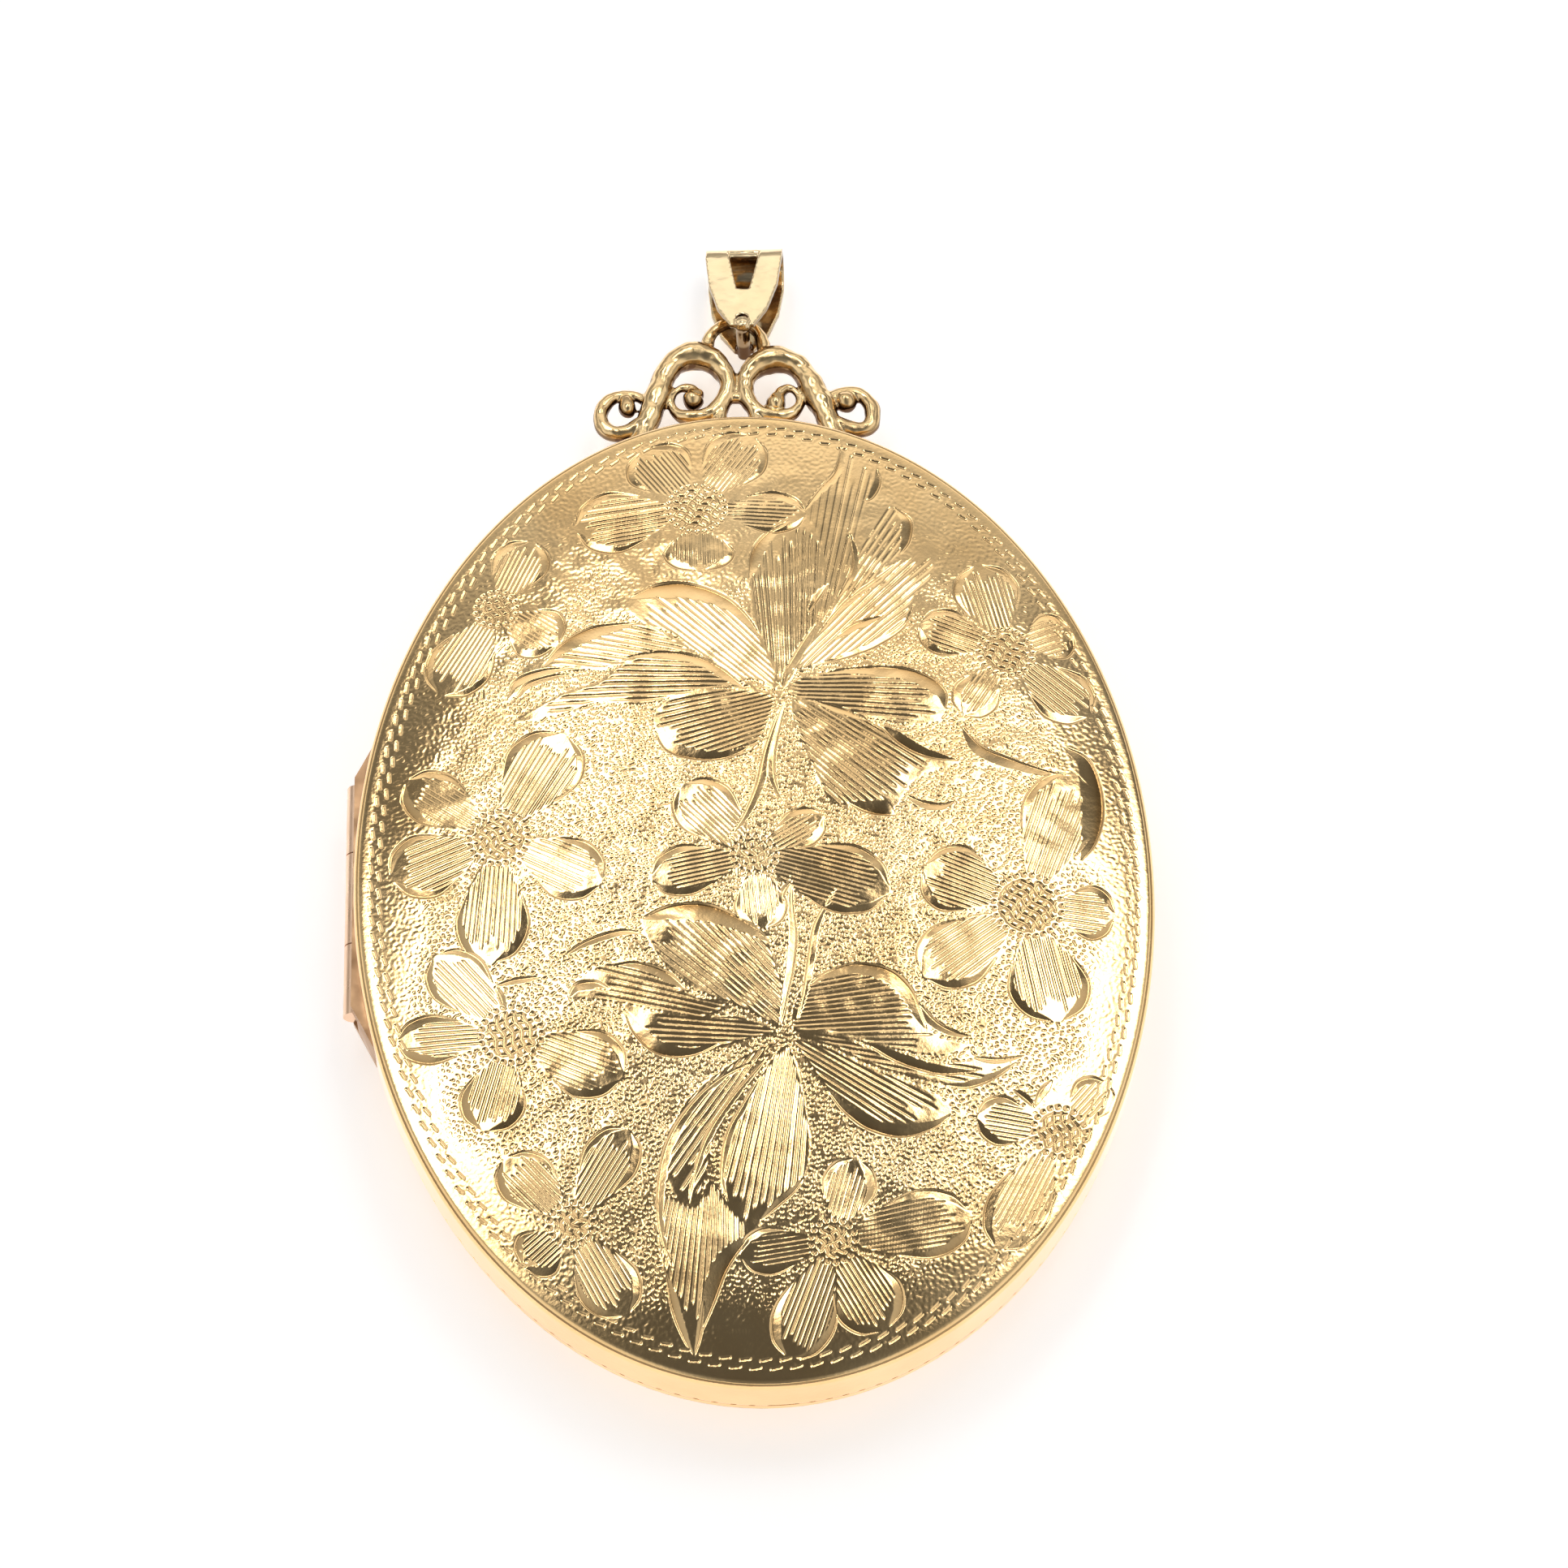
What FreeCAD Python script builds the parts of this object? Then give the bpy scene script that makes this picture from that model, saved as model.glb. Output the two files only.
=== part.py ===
"""An oval locket with two hinged covers, photograph holders inside, a scrolled wire gallery and a bail.

All lengths are in millimetres. The locket lies on its back on the plane z = 0, with its engraved front up,
its hinge on the -X side and its bail towards +Y. Pieces are drawn about the centre of the oval, and their
Placement then moves them so that the origin is at the middle of the whole part's footprint.
"""

import FreeCAD, Part
import math
import os

import Sketcher
from FreeCAD import Vector

SIZES = (
    ("case_width", 38.0, "outside width of the oval case"),
    ("case_length", 51.8, "outside length of the oval case"),
    ("front_wall", 2.4, "height of the front cover's straight wall"),
    ("rear_wall", 0.3, "height of the rear cover's straight wall"),
    ("front_dome", 1.1, "rise of the front face above its wall"),
    ("rear_dome", 2.6, "rise of the bowed back beyond its wall"),
    ("front_fullness", 2.0, "upright half axis of the ellipsoid that shapes the front's dome"),
    ("rim_round", 0.4, "radius where the front's dome meets its wall"),
    ("sheet_thickness", 0.4, "thickness of the covers' sheet"),
    ("bezel_wall", 0.4, "thickness of the inner rims"),
    ("lip_height", 0.6, "how far the rear inner rim stands above the seam"),
    ("lip_clearance", 0.08, "gap between that lip and the front cover's wall"),
    ("lip_headroom", 0.1, "gap between that lip and the front inner rim"),
    ("front_ledge", 1.7, "distance of the front photograph's ledge from the seam"),
    ("rear_ledge", 0.38, "distance of the rear photograph's ledge from the seam"),
    ("ledge_thickness", 0.25, "thickness of a ledge"),
    ("ledge_width", 1.1, "width of a ledge"),
    ("card_thickness", 0.2, "thickness of a photograph card"),
    ("window_thickness", 0.3, "thickness of a clear window"),
    ("holder_height", 0.4, "height of a photograph ring"),
    ("holder_width", 0.8, "width of a photograph ring"),
    ("holder_fit", 0.05, "gap between a photograph ring and its inner rim"),
    ("nail_radius", 9.0, "radius of the fingernail groove's cutter"),
    ("nail_depth", 0.25, "depth of the fingernail groove"),
    ("nail_height", 0.55, "height of the fingernail groove"),
    ("catch_radius", 0.12, "radius of the catch bead"),
    ("catch_length", 2.4, "length of the catch bead"),
    ("catch_stand", 0.07, "how far the catch bead stands out of the lip"),
    ("catch_solder", 0.01, "gap that solder fills between the catch bead and the lip"),
    ("catch_groove", 0.05, "gap round the catch bead in its groove"),
    ("tube_radius", 0.55, "outside radius of the hinge tubes"),
    ("hinge_length", 12.2, "length of the three hinge tubes together"),
    ("middle_tube", 4.8, "length of the middle hinge tube"),
    ("tube_gap", 0.06, "end gap between hinge tubes"),
    ("well_gap", 0.06, "gap between a tube and the cover it turns against"),
    ("pin_radius", 0.3, "radius of the hinge pin"),
    ("pin_clearance", 0.03, "running gap between the pin and the middle tube"),
    ("front_plate", 1.3, "height of the front hinge plate"),
    ("rear_plate", 0.9, "height of the rear hinge plate"),
    ("plate_stand", 0.1, "how far a hinge plate stands out of the case at its middle"),
    ("plate_end_run", 1.0, "length of a hinge plate's steep end beyond the tubes"),
    ("plate_reach", 8.3, "distance from the middle of the hinge to a plate's tip"),
    ("gallery_drop", 0.62, "depth of the gallery's middle plane below the seam"),
    ("scroll_spread", 2.07, "distance from the centre line to a main scroll's eye"),
    ("scroll_rise", 3.46, "height of a main scroll's eye above the case's top"),
    ("scroll_radius", 2.05, "radius of a main scroll at its top"),
    ("scroll_end_radius", 0.62, "radius of a main scroll at its inner end"),
    ("scroll_foot", 5.3, "distance from the centre line to a main scroll's foot"),
    ("scroll_wire", 0.6, "radius of a main scroll's wire at its top"),
    ("scroll_foot_wire", 0.48, "radius of a main scroll's wire at its foot"),
    ("scroll_end_wire", 0.2, "radius of a main scroll's wire at its inner end"),
    ("scroll_ball", 0.46, "radius of the ball in a main scroll"),
    ("scroll_ball_drop", 0.35, "depth of that ball's centre below the scroll's eye"),
    ("side_spread", 5.87, "distance from the centre line to a side scroll's eye"),
    ("side_rise", 1.83, "height of a side scroll's eye above the case's top"),
    ("side_radius", 1.4, "radius of a side scroll at its foot"),
    ("side_end_radius", 1.05, "radius of a side scroll at its end"),
    ("side_wire", 0.34, "radius of a side scroll's wire"),
    ("side_end_wire", 0.26, "radius of a side scroll's wire at its end"),
    ("side_ball", 0.45, "radius of the ball in a side scroll"),
    ("side_ball_shift", 0.32, "distance of that ball's centre from the side scroll's eye, inwards"),
    ("side_ball_lift", 0.5, "height of that ball's centre above the side scroll's eye"),
    ("arch_radius", 1.43, "radius of the top arch's centre line"),
    ("arch_rise", 6.21, "height of the top arch's centre above the case's top"),
    ("arch_wire", 0.27, "radius of the arch's wire at its crown"),
    ("arch_foot_wire", 0.37, "radius of the arch's wire at its feet"),
    ("leg_spread", 0.66, "distance from the centre line to a main scroll's inner leg"),
    ("leg_rise", 2.53, "height of that leg's top, inside the scroll, above the case's top"),
    ("leg_wire", 0.3, "radius of that leg's wire"),
    ("bail_offset", 0.45, "distance of the bail from the centre line"),
    ("bail_thickness", 0.3, "thickness of the bail's strip"),
    ("bail_width", 4.0, "width of the bail"),
    ("bail_reach", 3.75, "distance from the arch's wire to the bail's bend centre"),
    ("bail_bend", 1.2, "radius of the bail's bend at the middle of its strip"),
    ("bail_mouth", 0.92, "distance from the bail's middle plane to a leaf's tip"),
    ("tip_reach", 1.12, "distance from the arch's wire to the end of the tips"),
    ("front_tip", 1.2, "width of the front leaf's tip"),
    ("back_tip", 1.0, "width of the back leaf's tip"),
    ("slot_top_width", 1.7, "width of the front leaf's cut at its top"),
    ("slot_foot_width", 0.62, "width of the front leaf's cut at its foot"),
    ("slot_foot", 1.45, "distance from the arch's wire to the cut's foot"),
    ("slot_top", 4.25, "distance from the arch's wire to the cut's top"),
    ("post_radius", 0.32, "radius of the post that closes the bail below the arch"),
    ("post_gap", 0.08, "gap between the post and the arch's wire"),
    ("post_head", 0.08, "how far the post's domed ends stand out of the leaves"),
    ("bail_roll", 4.0, "turn of the bail about its length, in degrees"),
    ("bail_yaw", 3.0, "turn of the bail about the upright, in degrees"),
    ("table_gap", 0.02, "gap between the bail and the plane it lies on"),
)

SIDE_START = -35
SIDE_SWEEP = 300
SCROLL_TURN = 349
SCROLL_STATIONS = 28
SIDE_STATIONS = 18
ARCH_STATIONS = 16
FLANK_STATIONS = 8

doc = FreeCAD.newDocument("locket")
sheet = doc.addObject("Spreadsheet::Sheet", "sizes")
for row, (alias, value, note) in enumerate(SIZES, start=1):
    sheet.set(f"A{row}", alias)
    sheet.set(f"B{row}", str(value))
    sheet.set(f"C{row}", note)
    sheet.setAlias(f"B{row}", alias)
doc.recompute()

subparts = []

# Expressions that several pieces share.

HALF_WIDTH = "(sizes.case_width / 2)"
HALF_LENGTH = "(sizes.case_length / 2)"
SEAM = "(sizes.rear_dome + sizes.rear_wall)"
RIM_INSET = "(sizes.sheet_thickness + sizes.bezel_wall)"
LIP_INSET = "(sizes.sheet_thickness + sizes.lip_clearance)"
HOLDER_INSET = f"({RIM_INSET} + sizes.holder_fit)"
WELL_RADIUS = "(sizes.tube_radius + sizes.well_gap)"
CASE_X = "(sizes.tube_radius / 2)"
GALLERY_Z = f"({SEAM} - sizes.gallery_drop)"
PIVOT_Y = (
    f"({HALF_LENGTH} + sizes.arch_rise"
    " + sqrt(sizes.arch_radius * sizes.arch_radius - sizes.bail_offset * sizes.bail_offset))"
)
POST_DROP = "(sizes.arch_wire + sizes.post_gap + sizes.post_radius)"
LEAF_RUN = "(sizes.bail_reach + sizes.tip_reach)"
BAIL_BEND_OUT = "(sizes.bail_bend + sizes.bail_thickness / 2)"
BAIL_SINK = (
    f"(({GALLERY_Z} - {BAIL_BEND_OUT} * cos(sizes.bail_roll)"
    " - sizes.bail_width / 2 * sin(sizes.bail_roll) - sizes.table_gap) / sizes.bail_reach)"
)
BAIL_TILT = f"asin({BAIL_SINK})"
BAIL_END_Y = (
    f"({PIVOT_Y} + sizes.bail_reach * cos({BAIL_TILT}) * cos(sizes.bail_yaw)"
    f" + {BAIL_BEND_OUT} + sizes.bail_width / 2 * sin(sizes.bail_yaw))"
)
CASE_Y = f"(({HALF_LENGTH} - {BAIL_END_Y}) / 2)"


def size(alias):
    """The value of a cell of the sheet."""
    return float(sheet.get(alias))


def new(kind, name, bound=None, **fixed):
    """A document object with some properties bound to expressions and others set."""
    made = doc.addObject(kind, name)
    for key, value in fixed.items():
        setattr(made, key, value)
    for key, expression in (bound or {}).items():
        made.setExpression(key, expression)
    return made


def place(made, x="0", y="0", z="0", turn="rotation(vector(0; 0; 1); 0)"):
    """Binds an object's whole Placement."""
    made.setExpression("Placement", f"placement(vector({x}; {y}; {z}); {turn})")
    return made


def turned(axis, angle):
    """An expression for a rotation about one of the axes X, Y and Z."""
    direction = {"X": "1; 0; 0", "Y": "0; 1; 0", "Z": "0; 0; 1"}[axis]
    return f"rotation(vector({direction}); {angle})"


def subpart(made, label, x=CASE_X, y=CASE_Y, z="0", turn="rotation(vector(0; 0; 1); 0)"):
    """Names a finished piece and puts it in its place in the part."""
    made.Label = label
    place(made, x, y, z, turn)
    subparts.append(made)
    return made


def cut(name, base, *tools):
    """The base without the tools."""
    if len(tools) == 1:
        return new("Part::Cut", name, Base=base, Tool=tools[0])
    return new("Part::Cut", name, Base=base, Tool=fuse(f"{name}_tools", *tools))


def fuse(name, *shapes):
    """One solid made of several."""
    return new("Part::MultiFuse", name, Shapes=list(shapes))


def common(name, *shapes):
    """What several solids share."""
    return new("Part::MultiCommon", name, Shapes=list(shapes))


def oval(name, inset, bottom, height):
    """An upright block with the case's oval outline, drawn in by an inset."""
    outline = new(
        "Part::Ellipse",
        f"{name}_outline",
        {"MajorRadius": f"{HALF_LENGTH} - {inset}", "MinorRadius": f"{HALF_WIDTH} - {inset}"},
    )
    place(outline, z=bottom, turn=turned("Z", 90))
    return new(
        "Part::Extrusion",
        name,
        {"LengthFwd": height},
        Base=outline,
        DirMode="Custom",
        Dir=Vector(0, 0, 1),
        Solid=True,
    )


def oval_ring(name, outer_inset, inner_inset, bottom, height):
    """A flat oval ring."""
    inner = oval(f"{name}_inner", inner_inset, bottom, height)
    return cut(name, oval(f"{name}_outer", outer_inset, bottom, height), inner)


def box(name, length, width, height, x, y, z):
    """A box from its low corner."""
    return place(new("Part::Box", name, {"Length": length, "Width": width, "Height": height}), x, y, z)


def bar(name, radius, length, x, y_start, z):
    """A round bar along Y."""
    made = new("Part::Cylinder", name, {"Radius": radius, "Height": length})
    return place(made, x, y_start, z, turned("X", -90))


def outline(name, corners, plane_turn="rotation(vector(0; 0; 1); 0)", x="0", y="0", z="0"):
    """A closed sketch of straight edges, each corner held by a pair of bound distances."""
    sketch = doc.addObject("Sketcher::SketchObject", name)
    place(sketch, x, y, z, plane_turn)
    count = len(corners)
    for index in range(count):
        angle = 2 * math.pi * index / count
        following = 2 * math.pi * (index + 1) / count
        start = Vector(math.cos(angle), math.sin(angle), 0)
        end = Vector(math.cos(following), math.sin(following), 0)
        sketch.addGeometry(Part.LineSegment(start, end))
    for index in range(count):
        sketch.addConstraint(Sketcher.Constraint("Coincident", index, 2, (index + 1) % count, 1))
    for index, (across, along) in enumerate(corners):
        for kind, expression in (("DistanceX", across), ("DistanceY", along)):
            held = sketch.addConstraint(Sketcher.Constraint(kind, -1, 1, index, 1, 1.0))
            sketch.setExpression(f"Constraints[{held}]", expression)
    return sketch


def raised(name, sketch, height):
    """A solid raised from a flat sketch along +Z."""
    return new(
        "Part::Extrusion",
        name,
        {"LengthFwd": height},
        Base=sketch,
        DirMode="Custom",
        Dir=Vector(0, 0, 1),
        Solid=True,
    )


# The two halves of the case. Each is drawn with the seam at z = 0 and its inside towards +z; the rear
# half is then turned over about X.

HALF_TURN = {"front": turned("X", 0), "rear": turned("X", 180)}
OUTSIDE = {}


def half_piece(made, side, piece):
    """Names a piece of one half of the case and seats it at the seam."""
    return subpart(made, f"{side}_{piece}", z=SEAM, turn=HALF_TURN[side])


def cover_block(name, side, drop):
    """A solid block with a cover's wall and dome, lowered by a drop. The back is half an ellipsoid."""
    wall = f"sizes.{side}_wall"
    rise = f"sizes.{side}_dome"
    fullness = "sizes.front_fullness" if side == "front" else rise
    start = f"(({fullness} - {rise}) / {fullness})"
    spread = f"sqrt(1 - {start} * {start})"
    dome = new(
        "Part::Ellipsoid",
        f"{name}_dome",
        {
            "Radius1": fullness,
            "Radius2": f"{HALF_WIDTH} / {spread}",
            "Radius3": f"{HALF_LENGTH} / {spread}",
            "Angle1": f"asin({start})",
        },
        Angle2=90,
    )
    place(dome, z=f"{wall} + {rise} - {fullness} - {drop}")
    return fuse(name, oval(f"{name}_wall", "0", f"-{drop}", wall), dome)


def rounded_rim(name, block, level):
    """The block with its rim, the edges that lie at a level, rounded."""
    doc.recompute()
    rim = new("Part::Fillet", name, Base=block)
    edges = []
    for number, edge in enumerate(block.Shape.Edges, start=1):
        bounds = edge.BoundBox
        if abs(bounds.ZMin - level) < 1e-4 and abs(bounds.ZMax - level) < 1e-4:
            edges.append((number, size("rim_round"), size("rim_round")))
    rim.Edges = edges
    return rim


def hinge_wells(side, piece):
    """The grooves that let a cover or plate pass the hinge tubes, close round its own tubes only."""
    name = f"{side}_{piece}_well"
    middle_start = "-sizes.middle_tube / 2"
    reach = "(sizes.hinge_length / 2 + sizes.plate_end_run / 2)"
    end_run = f"{reach} - sizes.middle_tube / 2"
    own = "sizes.tube_radius"
    middle_radius, end_radius = (own, WELL_RADIUS) if side == "front" else (WELL_RADIUS, own)
    return [
        bar(f"{name}_middle", middle_radius, "sizes.middle_tube", f"-{HALF_WIDTH}", middle_start, "0"),
        bar(f"{name}_low", end_radius, end_run, f"-{HALF_WIDTH}", f"-{reach}", "0"),
        bar(f"{name}_high", end_radius, end_run, f"-{HALF_WIDTH}", "sizes.middle_tube / 2", "0"),
    ]


def cover(side, *grooves):
    """A cover: a shallow oval tray of sheet with a domed face. Returns its hollow."""
    hollow_top = cover_block(f"{side}_hollow_top", side, "sizes.sheet_thickness")
    hollow_height = f"sizes.{side}_wall + sizes.{side}_dome + 1"
    hollow_oval = oval(f"{side}_hollow_oval", "sizes.sheet_thickness", "-0.5", hollow_height)
    mouth = oval(f"{side}_mouth", "sizes.sheet_thickness", "-1", f"1 + sizes.{side}_wall / 2")
    hollow = common(f"{side}_hollow", hollow_top, hollow_oval)
    made = cut(f"{side}_tray", OUTSIDE[side], hollow, mouth, *hinge_wells(side, "cover"), *grooves)
    half_piece(made, side, "cover")
    return hollow


def catch_bar(name, grown, level):
    """A bar along Y at the lip's outside, opposite the hinge: the catch bead, or its groove when grown."""
    lip_x = f"{HALF_WIDTH} - sizes.sheet_thickness - sizes.lip_clearance"
    x = f"{lip_x} + sizes.catch_stand - sizes.catch_radius"
    half_length = f"(sizes.catch_length / 2 + {grown})"
    return bar(name, f"sizes.catch_radius + {grown}", f"2 * {half_length}", x, f"-{half_length}", level)


def nail_groove():
    """The scoop below the seam, opposite the hinge, that a fingernail opens the locket by."""
    drum = {"Radius": "sizes.nail_radius", "Height": "sizes.nail_height"}
    scoop = new("Part::Cylinder", "nail_scoop", drum)
    return place(scoop, x=f"{HALF_WIDTH} - sizes.nail_depth + sizes.nail_radius")


def hinge_bay(name):
    """A round bar that keeps a piece clear of all the hinge tubes."""
    return bar(name, WELL_RADIUS, "2 * sizes.hinge_length", f"-{HALF_WIDTH}", "-sizes.hinge_length", "0")


def ledge(side):
    """The flat step on which the photograph rests."""
    return oval_ring(
        f"{side}_ledge",
        "sizes.sheet_thickness",
        f"({RIM_INSET} + sizes.ledge_width)",
        f"sizes.{side}_ledge",
        "sizes.ledge_thickness",
    )


def front_bezel():
    """The front inner rim, which stops short of the rear rim's lip."""
    start = "(sizes.lip_height + sizes.lip_headroom)"
    tube = oval_ring("front_tube", "sizes.sheet_thickness", RIM_INSET, start, f"sizes.front_ledge - {start}")
    return half_piece(fuse("front_rim", tube, ledge("front")), "front", "bezel")


def rear_bezel(hollow):
    """The rear inner rim, whose lip stands above the seam and fits in the front cover."""
    tube = oval_ring("rear_tube", "sizes.sheet_thickness", RIM_INSET, "0", "sizes.rear_ledge")
    seat = common("rear_seat", fuse("rear_seat_rings", tube, ledge("rear")), hollow)
    lip = oval_ring("rear_lip", LIP_INSET, RIM_INSET, "-sizes.lip_height", "sizes.lip_height")
    rim = cut("rear_rim", fuse("rear_rim_whole", seat, lip), hinge_bay("rear_bay"))
    return half_piece(rim, "rear", "bezel")


def catch_bead():
    """The bead on the lip, opposite the hinge, that clicks into the front cover's groove."""
    bead = catch_bar("bead_bar", "0", "-sizes.lip_height / 2")
    seat = f"{LIP_INSET} - sizes.catch_solder"
    lip = oval("bead_lip", seat, "-sizes.lip_height", "sizes.lip_height")
    subpart(cut("bead", bead, lip), "catch_bead", z=SEAM, turn=HALF_TURN["rear"])


def photo_layers(side):
    """The card, the clear window over it and the ring that holds both on the ledge."""
    card_start = f"(sizes.{side}_ledge - sizes.card_thickness)"
    window_start = f"({card_start} - sizes.window_thickness)"
    ring_start = f"({window_start} - sizes.holder_height)"
    card = oval(f"{side}_card", HOLDER_INSET, card_start, "sizes.card_thickness")
    window = oval(f"{side}_pane", HOLDER_INSET, window_start, "sizes.window_thickness")
    holder_inner = f"({HOLDER_INSET} + sizes.holder_width)"
    ring = oval_ring(f"{side}_holder", HOLDER_INSET, holder_inner, ring_start, "sizes.holder_height")
    half_piece(card, side, "photo_card")
    half_piece(window, side, "window")
    half_piece(ring, side, "photo_ring")


# The hinge. Its axis runs along Y at the seam, on the outline of the case.


def hinge_plate(side):
    """The plate that fills the gap between the curved case and the straight row of tubes."""
    stand = f"-{HALF_WIDTH} - sizes.plate_stand"
    shoulder = f"-{HALF_WIDTH} + sizes.plate_stand + sizes.well_gap"
    tip_y = "sizes.plate_reach"
    tip = f"-{HALF_WIDTH} * sqrt(1 - {tip_y} * {tip_y} / {HALF_LENGTH} / {HALF_LENGTH})"
    inside = f"{tip} + 3 * sizes.sheet_thickness"
    corners = [(inside, f"-{tip_y}"), (tip, f"-{tip_y}")]
    corners.append((shoulder, "-sizes.hinge_length / 2 - sizes.plate_end_run / 2"))
    corners.append((stand, "-sizes.hinge_length / 2"))
    corners.append((stand, "sizes.hinge_length / 2"))
    corners.append((shoulder, "sizes.hinge_length / 2 + sizes.plate_end_run / 2"))
    corners.extend([(tip, tip_y), (inside, tip_y)])
    plate = raised(f"{side}_plate_block", outline(f"{side}_plate_outline", corners), f"sizes.{side}_plate")
    made = cut(f"{side}_plate", plate, OUTSIDE[side], *hinge_wells(side, "plate"))
    half_piece(made, side, "hinge_plate")


def hinge_tube(label, start, length, bore):
    """One tube of the hinge, along Y from a start."""
    outside = bar(f"{label}_outside", "sizes.tube_radius", length, "0", "0", "0")
    inside = bar(f"{label}_bore", bore, length, "0", "0", "0")
    x = f"{CASE_X} - {HALF_WIDTH}"
    subpart(cut(f"{label}_tube", outside, inside), label, x=x, y=f"{CASE_Y} + {start}", z=SEAM)


def hinge():
    """Two plates, three tubes and the pin."""
    hinge_plate("front")
    hinge_plate("rear")
    end_start = "(sizes.middle_tube / 2 + sizes.tube_gap)"
    end_length = f"(sizes.hinge_length / 2 - {end_start})"
    running_bore = "sizes.pin_radius + sizes.pin_clearance"
    hinge_tube("middle_knuckle", "-sizes.middle_tube / 2", "sizes.middle_tube", running_bore)
    hinge_tube("upper_knuckle", end_start, end_length, "sizes.pin_radius")
    hinge_tube("lower_knuckle", "-sizes.hinge_length / 2", end_length, "sizes.pin_radius")
    pin = bar("pin", "sizes.pin_radius", "sizes.hinge_length", "0", "0", "0")
    end_y = f"{CASE_Y} - sizes.hinge_length / 2"
    subpart(pin, "hinge_pin", x=f"{CASE_X} - {HALF_WIDTH}", y=end_y, z=SEAM, turn=turned("X", -90))


# The gallery of scrolled wires on top of the rear cover. Its middle plane is z = 0 while it is drawn.


def tapered_wire(name, stations):
    """A round wire through stations in one plane, each a centre, a direction and a radius."""
    rings = []
    for centre, direction, radius in stations:
        circle = Part.Circle(centre, direction, radius)
        circle.XAxis = Vector(0, 0, 1)
        rings.append(Part.Wire(circle.toShape()))
    wire = doc.addObject("Part::Feature", name)
    wire.Shape = Part.makeLoft(rings, True, False)
    return wire


def mirrored(stations):
    """The same stations on the other side of the centre line."""
    flipped = []
    for centre, direction, radius in stations:
        flipped.append((Vector(-centre.x, centre.y, centre.z), Vector(-direction.x, direction.y, 0), radius))
    return flipped


def blend(start, end, share):
    """The value a share of the way from start to end."""
    return start + (end - start) * share


def spiral(eye, start_angle, sweep, start_radius, end_radius, start_wire, end_wire, count):
    """Stations along a flat spiral that runs clockwise and closes in on its eye."""
    stations = []
    closing = (end_radius - start_radius) / sweep
    for index in range(count + 1):
        share = index / count
        angle = start_angle - sweep * share
        radius = blend(start_radius, end_radius, share)
        outward = Vector(math.cos(angle), math.sin(angle), 0)
        onward = Vector(math.sin(angle), -math.cos(angle), 0)
        centre = eye + outward * radius
        direction = onward * radius + outward * closing
        stations.append((centre, direction, blend(start_wire, end_wire, share)))
    return stations


def scroll_flank(eye):
    """Stations from a main scroll's foot on the case up to its top, along a cubic curve."""
    top = eye + Vector(0, size("scroll_radius"), 0)
    foot_x = size("scroll_foot")
    half_width = size("case_width") / 2
    half_length = size("case_length") / 2
    foot_y = half_length * math.sqrt(1 - (foot_x / half_width) ** 2)
    foot = Vector(-foot_x, foot_y - size("scroll_foot_wire"), 0)
    rise = top.y - foot.y
    lean = foot + Vector((top.x - foot.x) * 0.4, rise * 0.52, 0)
    shoulder = top - Vector((top.x - foot.x) * 0.52, 0, 0)
    stations = []
    for index in range(FLANK_STATIONS):
        share = index / FLANK_STATIONS
        rest = 1 - share
        centre = foot * rest**3 + lean * (3 * rest**2 * share)
        centre += shoulder * (3 * rest * share**2) + top * share**3
        direction = (lean - foot) * rest**2 + (shoulder - lean) * (2 * rest * share)
        direction += (top - shoulder) * share**2
        radius = blend(size("scroll_foot_wire"), size("scroll_wire"), share)
        stations.append((centre, direction, radius))
    return stations


def main_scroll_stations():
    """Stations of the left main scroll, from its foot over the top and round to its eye."""
    eye = Vector(-size("scroll_spread"), size("case_length") / 2 + size("scroll_rise"), 0)
    curl = spiral(
        eye,
        math.pi / 2,
        math.radians(SCROLL_TURN),
        size("scroll_radius"),
        size("scroll_end_radius"),
        size("scroll_wire"),
        size("scroll_end_wire"),
        SCROLL_STATIONS,
    )
    return scroll_flank(eye) + curl


def side_scroll_stations():
    """Stations of the left side scroll, from the main scroll's flank round and back to it."""
    eye = Vector(-size("side_spread"), size("case_length") / 2 + size("side_rise"), 0)
    return spiral(
        eye,
        math.radians(SIDE_START),
        math.radians(SIDE_SWEEP),
        size("side_radius"),
        size("side_end_radius"),
        size("side_wire"),
        size("side_end_wire"),
        SIDE_STATIONS,
    )


def arch_stations():
    """Stations of the top arch, from one main scroll over to the other."""
    eye = Vector(0, size("case_length") / 2 + size("arch_rise"), 0)
    radius = size("arch_radius")
    leg = Vector(0, -radius / 2, 0)
    foot_wire = size("arch_foot_wire")
    stations = [(eye + Vector(-radius, 0, 0) + leg, Vector(0, 1, 0), foot_wire)]
    for index in range(ARCH_STATIONS + 1):
        share = index / ARCH_STATIONS
        angle = math.pi * (1 - share)
        centre = eye + Vector(math.cos(angle), math.sin(angle), 0) * radius
        direction = Vector(math.sin(angle), -math.cos(angle), 0)
        wire = blend(foot_wire, size("arch_wire"), math.sin(angle))
        stations.append((centre, direction, wire))
    stations.append((eye + Vector(radius, 0, 0) + leg, Vector(0, -1, 0), foot_wire))
    return stations


def ball(name, radius, x, y):
    """A ball in the gallery's middle plane, its poles along Y, clear of the wires that it meets."""
    return place(new("Part::Sphere", name, {"Radius": radius}), x, y, turn=turned("X", 90))


def scroll_leg(name, sign):
    """A short straight wire from the case up into the inner side of a main scroll."""
    foot = f"{HALF_LENGTH} - sizes.sheet_thickness"
    length = "sizes.leg_rise + sizes.sheet_thickness"
    return bar(name, "sizes.leg_wire", length, f"{sign}sizes.leg_spread", foot, "0")


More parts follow.
